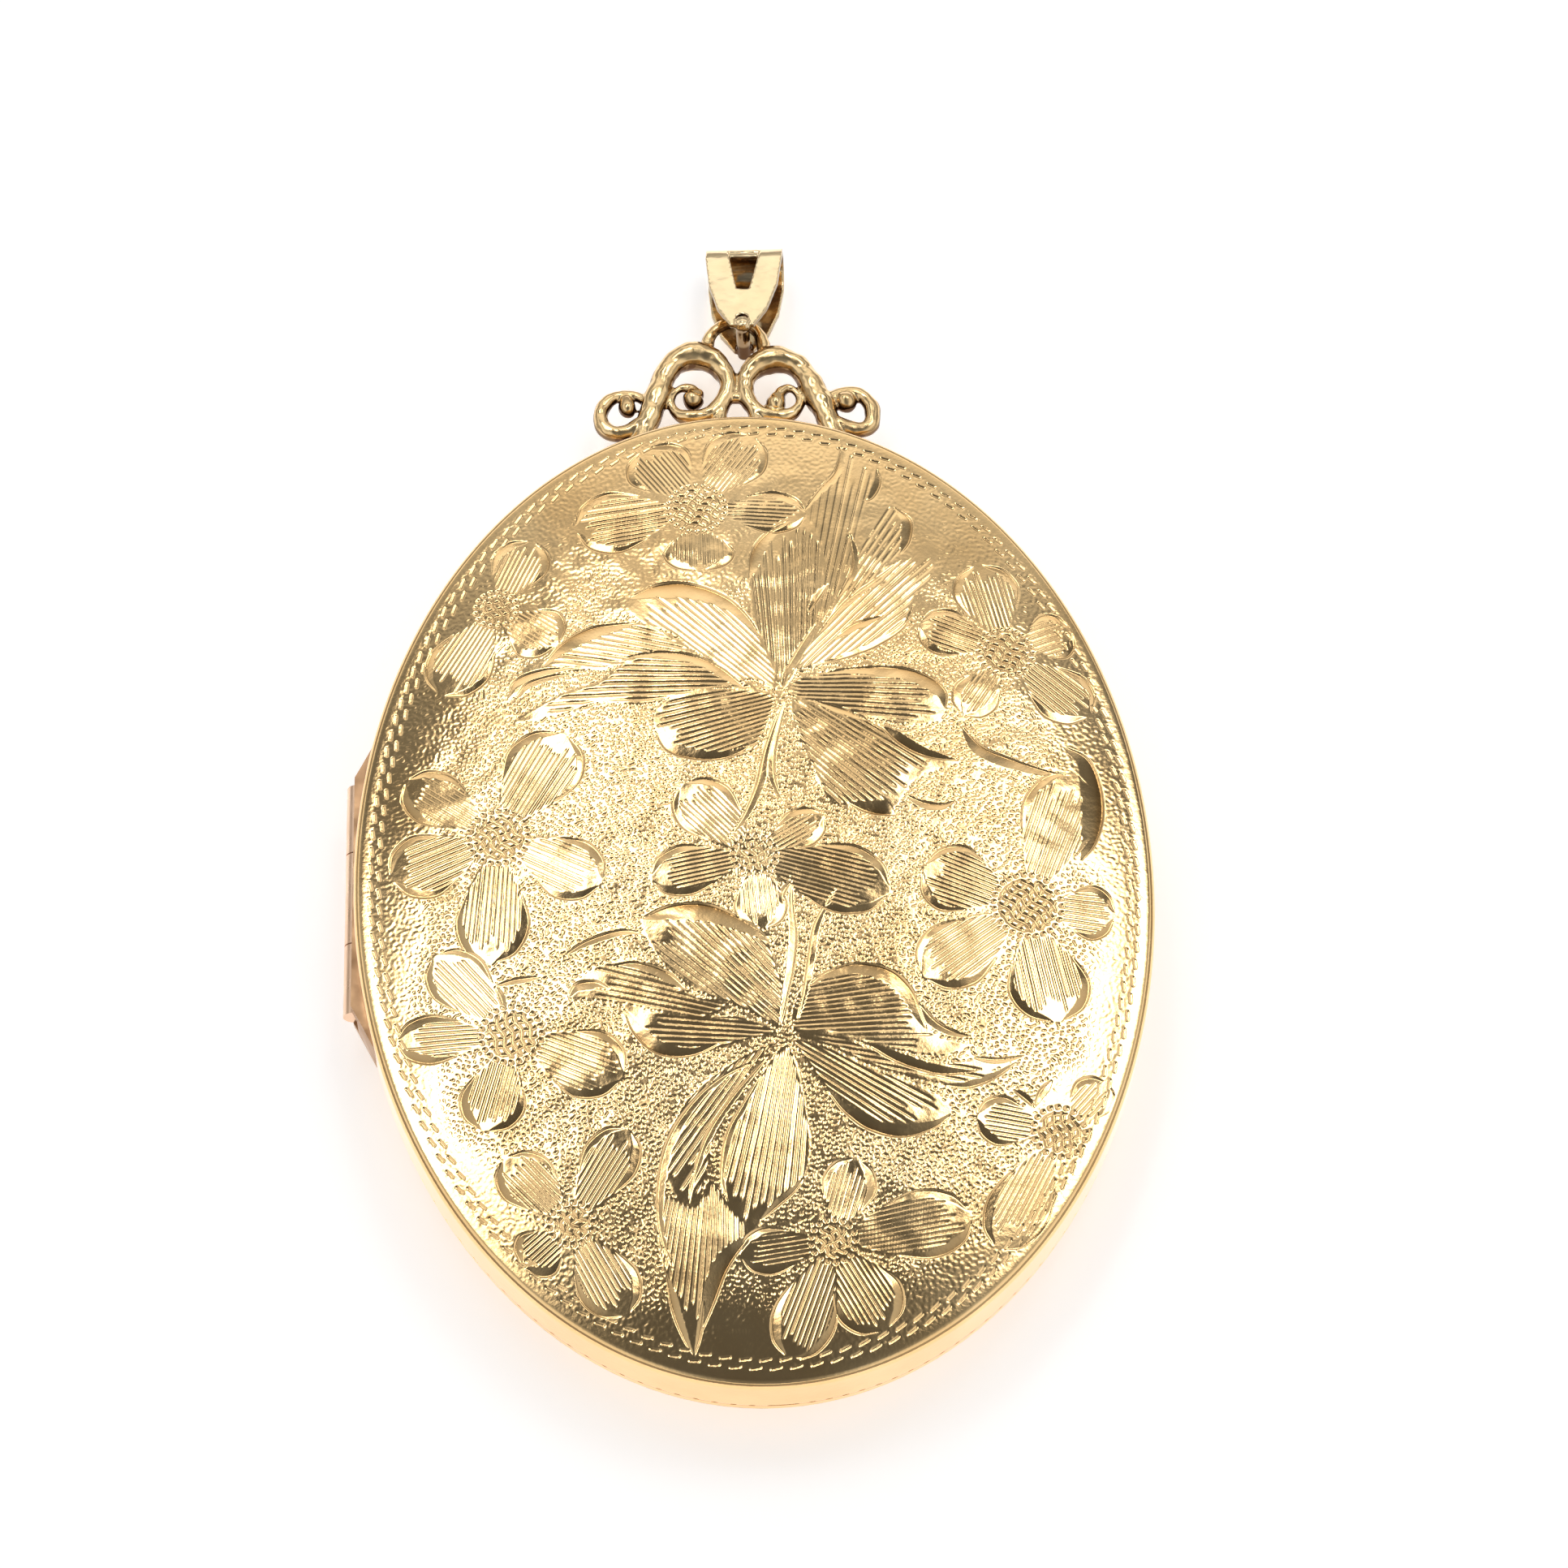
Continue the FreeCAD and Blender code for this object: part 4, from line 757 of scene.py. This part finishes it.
GALLERY_WIRES = (
    # the main scrolls
    ((-5.4, 24.6, 0.5), (-5.1, 25.7, 0.5), (-4.75, 26.9, 0.52), (-4.42, 28.2, 0.6), (-4.0, 29.4, 0.6),
     (-3.6, 30.5, 0.56), (-3.0, 31.25, 0.62), (-2.1, 31.55, 0.72), (-1.2, 31.2, 0.64),
     (-0.6, 30.4, 0.5), (-0.42, 29.6, 0.46), (-0.75, 28.7, 0.42), (-1.4, 28.0, 0.4),
     (-2.3, 27.72, 0.38), (-3.05, 27.98, 0.32), (-3.4, 28.6, 0.24), (-3.26, 29.2, 0.19),
     (-2.86, 29.55, 0.19), (-2.38, 29.5, 0.27), (-2.05, 29.15, 0.35)),
    ((5.4, 24.6, 0.5), (5.1, 25.7, 0.5), (4.75, 27.0, 0.5), (4.4, 28.2, 0.62), (3.95, 29.3, 0.64),
     (3.5, 30.3, 0.58), (2.9, 31.0, 0.6), (2.0, 31.26, 0.68), (1.15, 30.93, 0.6), (0.55, 30.2, 0.48),
     (0.4, 29.4, 0.44), (0.65, 28.6, 0.42), (1.2, 27.95, 0.4), (2.0, 27.68, 0.36), (2.8, 27.9, 0.32),
     (3.2, 28.5, 0.25), (3.08, 29.1, 0.2), (2.7, 29.45, 0.2), (2.32, 29.25, 0.27), (2.1, 28.9, 0.34)),
    # the side scrolls
    ((-4.75, 28.8, 0.26), (-5.25, 29.15, 0.24), (-5.9, 29.2, 0.26), (-6.52, 28.9, 0.31),
     (-6.95, 28.3, 0.36), (-7.0, 27.6, 0.39), (-6.75, 27.05, 0.4), (-6.2, 26.8, 0.4),
     (-5.5, 26.95, 0.42), (-4.9, 27.3, 0.45)),
    ((4.75, 28.7, 0.34), (5.1, 28.98, 0.32), (5.7, 29.12, 0.3), (6.3, 28.95, 0.33),
     (6.76, 28.45, 0.37), (6.94, 27.8, 0.38), (6.82, 27.15, 0.38), (6.4, 26.82, 0.38),
     (5.7, 26.88, 0.4), (5.1, 27.15, 0.42)),
    # the arch
    ((-1.5, 31.6, 0.38), (-1.42, 32.25, 0.34), (-1.2, 32.89, 0.3), (-0.72, 33.35, 0.28),
     (0, 33.54, 0.27), (0.72, 33.35, 0.28), (1.2, 32.89, 0.3), (1.42, 32.25, 0.35), (1.5, 31.5, 0.38)),
    # the legs between the scrolls and the case, and the bar that ties them
    ((-0.25, 29.3, 0.28), (-0.68, 28.5, 0.32), (-0.92, 27.6, 0.34), (-0.9, 26.6, 0.34),
     (-0.9, 25.7, 0.36)),
    ((0.25, 29.3, 0.28), (0.68, 28.5, 0.32), (0.92, 27.6, 0.34), (0.9, 26.6, 0.34), (0.9, 25.7, 0.36)),
    ((-0.35, 28.85, 0.24), (0, 28.9, 0.28), (0.35, 28.85, 0.24)),
    # the balls of the side scrolls and of the main ones
    ((-5.75, 29.0, 0.26), (-5.68, 28.6, 0.4), (-5.64, 28.3, 0.44)),
    ((5.15, 28.75, 0.32), (5.4, 28.6, 0.48), (5.6, 28.48, 0.52)),
    ((-2.2, 29.0, 0.44), (-2.25, 28.88, 0.52), (-2.26, 28.84, 0.52)),
    ((2.05, 28.7, 0.44), (1.98, 28.54, 0.5), (1.97, 28.5, 0.5)),
)
GALLERY_NODES = (
    "left_scroll", "right_scroll", "left_side_scroll", "right_side_scroll", "left_scroll_ball",
    "right_scroll_ball", "left_side_ball", "right_side_ball", "left_scroll_leg", "right_scroll_leg",
    "top_arch",
)


def gallery():
    """The gallery as one worn casting."""
    low, high = (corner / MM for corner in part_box("top_arch"))
    level = (low.z + high.z) / 2
    rods = []
    for wire in GALLERY_WIRES:
        rods.append(rod([(CENTRE.x + x, CENTRE.y + y, level, radius * WIRE_WEAR) for x, y, radius in wire]))
    return worn("gallery_casting", rods, GALLERY_VOXEL, uneven=0.04, reach=1.2, side_shade=0.75, seed=7)


def worn_bail():
    """The bail and its post as one worn piece; the post has a domed head and painted shade on its lower end.
    """
    strip = solid_of("bail")
    places, faces = solid_of("bail_post")
    middle = places.mean(axis=0)
    axis = np.linalg.svd(places - middle)[2][0]
    axis *= np.sign(axis[2])
    towards_tip = np.array([0, -POST_SHIFT, 0])
    places = middle + (places - middle) * POST_WEAR + towards_tip
    head = middle + towards_tip + axis * (((places - middle) @ axis).max() - RIVET_SINK)
    dome = rod([(*head, RIVET_RADIUS), (*(head + [0.02, 0, 0]), RIVET_RADIUS)])
    solids = [strip, (places, faces), dome, slot_bar(strip[0], axis)]
    made = worn("bail_worn", solids, BAIL_VOXEL, uneven=0.008, reach=1.8, side_shade=0.6, seed=11)
    layer = made.data.attributes["painted_shade_share"].data
    shut = np.empty(len(layer))
    layer.foreach_get("value", shut)
    places = np.array([vertex.co for vertex in made.data.vertices]) / MM - head
    down = -(places @ axis)
    off_axis = np.linalg.norm(places + down[:, None] * axis, axis=1)
    # Painted shade on the post's lower end, where it passes under the arch.
    shaded_end = (off_axis < SHADED_END_RADIUS) * smoothstep(*SHADED_END_RUN, down)
    layer.foreach_set("value", np.maximum(shut, shaded_end).astype(np.float32))
    return made


def slot_bar(places, axis):
    """The part of the bail's bend that closes the top of the front leaf's slot."""
    along = np.cross(axis, [1, 0, 0])
    middle = places[:, 0].mean()
    halves = (places[places[:, 0] < middle], places[places[:, 0] > middle])
    left, right = (half[np.argmax(half @ along)] for half in halves)
    across = (right - left) / np.linalg.norm(right - left)
    along = np.cross(axis, across)
    centre = (left + right) / 2 - along * BAIL_BEND_OUT
    reach = across * SLOT_REACH
    rings = []
    for lean in np.radians(np.linspace(*SLOT_LEANS, 6)):
        out = along * math.sin(lean) + axis * math.cos(lean)
        inner = centre + out * (BAIL_BEND_OUT - BAIL_SHEET)
        outer = centre + out * BAIL_BEND_OUT
        rings.append([inner - reach, inner + reach, outer + reach, outer - reach])
    return skin(np.array(rings))


def window_film(name, node, card):
    """A clear oval film, a little crowned on its free side, that lies a hair off its card."""
    low, high = (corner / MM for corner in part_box(node))
    middle, half = (low + high) / 2, (high - low) / 2
    side = 1 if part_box(card)[0].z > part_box(node)[0].z else -1
    shares = np.array([0.12, 0.3, 0.5, 0.7, 0.86, 0.96, 0.997])
    card_level, free_level = half.z - FILM_GAP, -half.z
    free_side = free_level + FILM_CROWN * shares**2
    reach = np.concatenate([shares, [1, 1], shares[::-1]])
    eased = [card_level - FILM_GAP, free_level + 2 * FILM_CROWN]
    level = np.concatenate([np.full(shares.shape, card_level), eased, free_side[::-1]])
    turns = np.linspace(0, 2 * math.pi, FILM_SIDES, endpoint=False)
    x, y = np.outer(reach, np.cos(turns)), np.outer(reach, np.sin(turns))
    z = np.outer(level, np.full(FILM_SIDES, side))
    places = np.stack([half.x * x, half.y * y, z], axis=2).reshape(-1, 3)
    loops = np.arange(x.size).reshape(x.shape)
    fans = []
    for end, ring, way in ((x.size, loops[0], side), (x.size + 1, loops[-1], -side)):
        fans.append(np.stack([np.full(FILM_SIDES, end), ring, np.roll(ring, -1)], axis=1)[:, ::way])
    vertices = np.vstack([places, [0, 0, side * card_level], [0, 0, side * free_level]])
    return mesh_object(name, vertices + np.array(middle), bands(loops)[:, ::-side], None, np.vstack(fans))


# Materials.


class Nodes:
    """A node tree, with short ways to add nodes."""

    def __init__(self, tree):
        self.nodes, self.links = tree.nodes, tree.links

    def feed(self, socket, value):
        """Links or sets a socket."""
        if isinstance(value, bpy.types.NodeSocket):
            self.links.new(value, socket)
        else:
            socket.default_value = value

    def node(self, kind, settings=None, **inputs):
        made = self.nodes.new(kind)
        for key, value in (settings or {}).items():
            setattr(made, key, value)
        for key, value in inputs.items():
            self.feed(made.inputs[key.replace("_", " ")], value)
        return made

    def math(self, operation, *values):
        made = self.node("ShaderNodeMath", {"operation": operation})
        for socket, value in zip(made.inputs, values):
            self.feed(socket, value)
        return made.outputs[0]

    def rays(self):
        return self.node("ShaderNodeLightPath").outputs


class Material(Nodes):
    """A principled material, with short ways to give it marks and tones."""

    def __init__(self, name, **sockets):
        self.material = bpy.data.materials.new(name)
        self.material.use_nodes = True
        super().__init__(self.material.node_tree)
        self.shader = self.nodes["Principled BSDF"]
        for key, value in sockets.items():
            self.join(value, key.replace("_", " "))

    def join(self, value, key):
        self.feed(self.shader.inputs[key], value)

    def attribute(self, name):
        return self.node("ShaderNodeAttribute", {"attribute_name": name}).outputs["Fac"]

    def noise(self, scale, detail=3.0, roughness=0.5):
        place = self.node("ShaderNodeTexCoord").outputs["Object"]
        made = self.node("ShaderNodeTexNoise", Vector=place, Scale=scale, Detail=detail, Roughness=roughness)
        return made.outputs["Fac"]

    def ramp(self, factor, *stops):
        """A ramp through stops of a position and a colour, or a plain number for a grey."""
        made = self.node("ShaderNodeValToRGB", Fac=factor)
        elements = made.color_ramp.elements
        while len(elements) < len(stops):
            elements.new(0.5)
        for element, (position, colour) in zip(elements, stops):
            element.position = position
            element.color = (*np.broadcast_to(colour, 3), 1)
        return made.outputs["Color"]

    def blend(self, share, first, second):
        """The first colour, or the second where the share is 1."""
        made = self.node("ShaderNodeMix", {"data_type": "RGBA"})
        for number, value in ((0, share), (6, first), (7, (*second, 1))):
            self.feed(made.inputs[number], value)
        return made.outputs[2]

    def bump(self, height, distance):
        made = self.node("ShaderNodeBump", Height=height, Distance=distance * MM, Strength=1.0)
        self.join(made.outputs["Normal"], "Normal")


PALE_GOLD = (0.95, 0.67, 0.34)
MID_GOLD = (0.88, 0.58, 0.265)
# The brown of the painted shade in the deepest cuts.
CUT_SHADE_GOLD = (0.55, 0.31, 0.11)
# The colour of the painted shade on the worn gallery and bail.
PAINTED_SHADE = (0.11, 0.06, 0.032)
WIRE_PALE = (0.96, 0.70, 0.37)
WIRE_MID = (0.80, 0.55, 0.27)
BAIL_PALE = (0.97, 0.78, 0.49)
BAIL_MID = (0.92, 0.71, 0.42)
HINGE_PALE = (0.95, 0.69, 0.50)
HINGE_MID = (0.82, 0.56, 0.38)
# The hinge plates' gold, darkened as painted shade for the shade and dark reflection at their ends.
PLATE_SHADE_PALE = (0.66, 0.43, 0.24)
PLATE_SHADE_MID = (0.36, 0.21, 0.12)
CARD_PALE = (0.86, 0.83, 0.76)
CARD_MID = (0.78, 0.74, 0.66)
FILM_PALE = (0.98, 0.98, 0.97)
FILM_MID = (0.95, 0.95, 0.93)


def polished_gold(name, pale, mid, roughness):
    """Gold with faint tone changes and fine scratches."""
    made = Material(name, Metallic=1.0)
    made.join(made.ramp(made.noise(180, 4), (0.3, mid), (0.7, pale)), "Base Color")
    made.join(made.ramp(made.noise(900, 5), (0.3, roughness * 0.8), (0.75, roughness * 1.7)), "Roughness")
    made.bump(made.noise(2600, 4), 0.004)
    return made.material


def engraved_gold():
    """The face's gold: bright on the facets, a little rougher on the ground, with brown painted shade in the
    deepest cuts.
    """
    made = Material("engraved_gold", Metallic=1.0)
    tone = made.ramp(made.noise(250, 4), (0.3, MID_GOLD), (0.7, PALE_GOLD))
    # Painted shade: the deeper a cut, the browner its gold.
    deep = made.math("POWER", made.attribute("cut"), 2.5)
    made.join(made.blend(deep, tone, CUT_SHADE_GOLD), "Base Color")
    made.join(made.ramp(made.attribute("ground"), (0.0, 0.07), (1.0, 0.13)), "Roughness")
    made.bump(made.noise(4000, 4), 0.006)
    return made.material


def worn_gold(name, pale, mid, roughness):
    """Gold with wear: painted shade in its recesses and on its upright sides, and brushed by use elsewhere.
    """
    made = Material(name, Metallic=1.0)
    tone = made.ramp(made.noise(400, 4), (0.3, mid), (0.7, pale))
    # Painted shade: the darkening share of recesses, upright sides and the post's lower end.
    share = made.ramp(made.attribute("painted_shade_share"), (0.12, 0.0), (0.5, 0.65), (0.85, 1.0))
    made.join(made.blend(share, tone, PAINTED_SHADE), "Base Color")
    made.join(made.ramp(made.noise(1100, 5), (0.3, roughness * 0.7), (0.75, roughness * 1.8)), "Roughness")
    made.bump(made.noise(2400, 5), 0.008)
    return made.material


def photo_card():
    """The blank card that holds a photograph's place: off-white, with paper fibres."""
    made = Material("photo_card", Metallic=0.0)
    made.join(made.ramp(made.noise(1500, 6, 0.7), (0.3, CARD_MID), (0.7, CARD_PALE)), "Base Color")
    made.join(made.ramp(made.noise(700), (0.3, 0.75), (0.7, 0.9)), "Roughness")
    made.bump(made.noise(5000, 5), 0.01)
    return made.material


def clear_window():
    """Thin clear film with the faintest tint and rub marks; light passes straight through it."""
    made = Material("clear_window", IOR=1.49, Transmission_Weight=1.0)
    made.join(made.ramp(made.noise(300), (0.3, FILM_MID), (0.7, FILM_PALE)), "Base Color")
    made.join(made.ramp(made.noise(900, 5), (0.4, 0.02), (0.8, 0.08)), "Roughness")
    rays = made.rays()
    light = made.math("MAXIMUM", rays["Is Shadow Ray"], rays["Is Diffuse Ray"])
    clear = made.node("ShaderNodeBsdfTransparent").outputs[0]
    mix = made.node("ShaderNodeMixShader")
    for socket, value in zip(mix.inputs, (light, made.shader.outputs[0], clear)):
        made.feed(socket, value)
    made.feed(made.nodes["Material Output"].inputs["Surface"], mix.outputs[0])
    return made.material


def paint(made, material):
    """Gives an object one material only."""
    made.data.materials.clear()
    made.data.materials.append(material)


# The pieces.

relief = engrave()
cover = front_cover(relief)
paint(cover, engraved_gold())
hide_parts("front_cover")
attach(cover, "front_half")

wires = gallery()
paint(wires, worn_gold("gallery_gold", WIRE_PALE, WIRE_MID, 0.16))
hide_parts(*GALLERY_NODES)
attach(wires, "rear_half")

loop = worn_bail()
paint(loop, worn_gold("bail_gold", BAIL_PALE, BAIL_MID, 0.13))
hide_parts("bail", "bail_post")
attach(loop, "bail_loop")

window = clear_window()
for side, body in (("front", "front_half"), ("rear", "rear_half")):
    film = window_film(f"{side}_window_film", f"{side}_window", f"{side}_photo_card")
    paint(film, window)
    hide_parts(f"{side}_window")
    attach(film, body)

gold = polished_gold("case_gold", PALE_GOLD, MID_GOLD, 0.12)
hinge_gold = polished_gold("hinge_gold", HINGE_PALE, HINGE_MID, 0.25)
# Painted shade: the hinge plates are given a dark gold.
plate_painted_shade = polished_gold("plate_painted_shade", PLATE_SHADE_PALE, PLATE_SHADE_MID, 0.35)
card = photo_card()
for name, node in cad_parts.items():
    if name.endswith("_card"):
        paint(node, card)
    elif name.endswith("_knuckle") or name == "hinge_pin":
        paint(node, hinge_gold)
    elif name.endswith("_hinge_plate"):
        paint(node, plate_painted_shade)
    elif name not in ("front_cover", "front_window", "rear_window", "bail", "bail_post", *GALLERY_NODES):
        paint(node, gold)


# The studio: a pale floor, a white surround, dim walls and a ceiling of uneven light for the metal.

FLOOR_REACH = 600
FLOOR_TONE = (0.845, 0.855, 0.885, 1)
FLOOR_GLOW = (1, 0.99, 0.985, 1)
GLOW_DIRECT = 0.5
GLOW_MIRRORED = 0.7
SURROUND_FILL = 0.6
DARK = (0.1, 0.1, 0.1, 1)
ROOM_REACH = 800
ROOM_SIDES = 96
WALL_FOOT = 10
CEILING_LEVEL = 450
CEILING_STEP = 10
CEILING_PLAIN = 0.8

# Soft patches of light on the ceiling: x, y, reach and strength.

LIGHT_PATCHES = (
    (0, -420, 120, 0.12), (0, -230, 100, 0.06), (-300, -300, 120, 0.9), (300, -300, 120, 0.9),
    (0, -60, 80, 0.05), (0, 30, 55, 0.04), (-60, 40, 40, 0.07), (70, 40, 35, 0.12),
    (-150, 20, 45, 0.5), (150, 20, 45, 0.5), (-30, 110, 34, 0.05),
    (8, 100, 48, 0.06), (12, 165, 60, 0.04), (14, 235, 46, 0.06),
    (-50, 268, 26, 11.0), (-95, 190, 27, 8.5), (-118, 130, 32, 6.0),
    (116, 145, 27, 6.5), (150, 205, 35, 7.0), (102, 262, 23, 6.5),
    (-15, 325, 26, 1.6), (60, 330, 35, 0.4), (-145, 288, 54, 0.08), (200, 305, 64, 0.08),
    (-230, 170, 50, 0.45), (250, 160, 50, 0.6),
    (0, 385, 45, 0.4), (-110, 400, 60, 0.45), (130, 400, 60, 0.7), (0, 480, 60, 1.1), (0, 600, 90, 1.2),
)


def studio_floor():
    """A pale floor that keeps the locket's shadow, with a glow of its own for the camera and the metal."""
    corners = np.array([(-1, -1, 0), (1, -1, 0), (1, 1, 0), (-1, 1, 0)]) * FLOOR_REACH
    made = mesh_object("floor", corners, np.array([[0, 1, 2, 3]]))
    look = Material("floor_white", Base_Color=FLOOR_TONE, Roughness=0.7, Emission_Color=FLOOR_GLOW)
    rays = look.rays()
    direct = look.math("MULTIPLY", rays["Is Camera Ray"], GLOW_DIRECT)
    glow = look.math("MULTIPLY_ADD", rays["Is Glossy Ray"], GLOW_MIRRORED, direct)
    look.join(glow, "Emission Strength")
    paint(made, look.material)


def surround():
    """White all round where it is seen, also in the metal and through glass, and dimmer light otherwise."""
    world = bpy.data.worlds.new("surround")
    bpy.context.scene.world = world
    world.use_nodes = True
    tree = Nodes(world.node_tree)
    rays = tree.rays()
    seen = tree.math("MAXIMUM", rays["Is Camera Ray"], rays["Is Glossy Ray"])
    seen = tree.math("MAXIMUM", seen, rays["Is Transmission Ray"])
    strength = tree.node("ShaderNodeMapRange", Value=seen, To_Min=SURROUND_FILL, To_Max=1.0)
    background = tree.nodes["Background"].inputs
    tree.feed(background["Color"], (1, 1, 1, 1))
    tree.feed(background["Strength"], strength.outputs["Result"])


def room_walls():
    """The dim walls of the room, out of the camera's sight."""
    turns = np.linspace(0, 2 * math.pi, ROOM_SIDES, endpoint=False)
    ring = ROOM_REACH * np.stack([np.cos(turns), np.sin(turns), 0 * turns], axis=1)
    corners = np.vstack([ring + [0, 0, WALL_FOOT], ring + [0, 0, CEILING_LEVEL]])
    made = mesh_object("room_walls", corners, bands(np.arange(2 * ROOM_SIDES).reshape(2, -1)))
    look = Material("room_dim", Base_Color=DARK, Roughness=0.9, Emission_Strength=0.4)
    tone = look.ramp(look.noise(2, 2), (0.3, (0.5, 0.46, 0.42)), (0.7, (1.0, 0.97, 0.92)))
    look.join(tone, "Emission Color")
    paint(made, look.material)
    made.visible_camera = False


def lit_ceiling():
    """A ceiling of uneven soft light, out of the camera's sight."""
    across = np.arange(-400, 401, CEILING_STEP)
    along = np.arange(-600, 701, CEILING_STEP)
    x, y = np.meshgrid(across.astype(float), along.astype(float))
    weight = np.full(x.shape, 1e-4)
    total = weight * CEILING_PLAIN
    for place_x, place_y, reach, strength in LIGHT_PATCHES:
        near = np.exp(-((x - place_x) ** 2 + (y - place_y) ** 2) / (2 * reach**2))
        weight += near
        total += near * strength
    quads = grid_quads(np.arange(x.size).reshape(x.shape))[:, ::-1]
    corners = np.stack([x.ravel(), y.ravel(), np.full(x.size, CEILING_LEVEL)], axis=1)
    made = mesh_object("ceiling", corners, quads, {"glow": (total / weight).ravel()})
    look = Material("ceiling_light", Base_Color=DARK, Roughness=0.9)
    glow = look.attribute("glow")
    look.join(look.ramp(glow, (0.15, (0.86, 0.93, 1.0)), (0.7, (1.0, 0.99, 0.96))), "Emission Color")
    look.join(glow, "Emission Strength")
    paint(made, look.material)
    made.visible_camera = False


studio_floor()
surround()
lit_ceiling()
room_walls()

# The camera's place in millimetres and its turn in degrees, fitted to the photograph.

CAMERA_PLACE = (-4.2688, -97.8733, 182.0225)
CAMERA_TURN = (28.588, -0.949, -1.889)

camera = bpy.data.objects.new("camera", bpy.data.cameras.new("camera"))
bpy.context.scene.collection.objects.link(camera)
camera.location = Vector(CAMERA_PLACE) * MM
camera.rotation_euler = Euler([math.radians(turn) for turn in CAMERA_TURN])
camera.data.lens = 96.3
camera.data.sensor_width = 36
camera.data.clip_start = 5 * MM
bpy.context.scene.camera = camera
bpy.context.scene.view_settings.view_transform = "Standard"
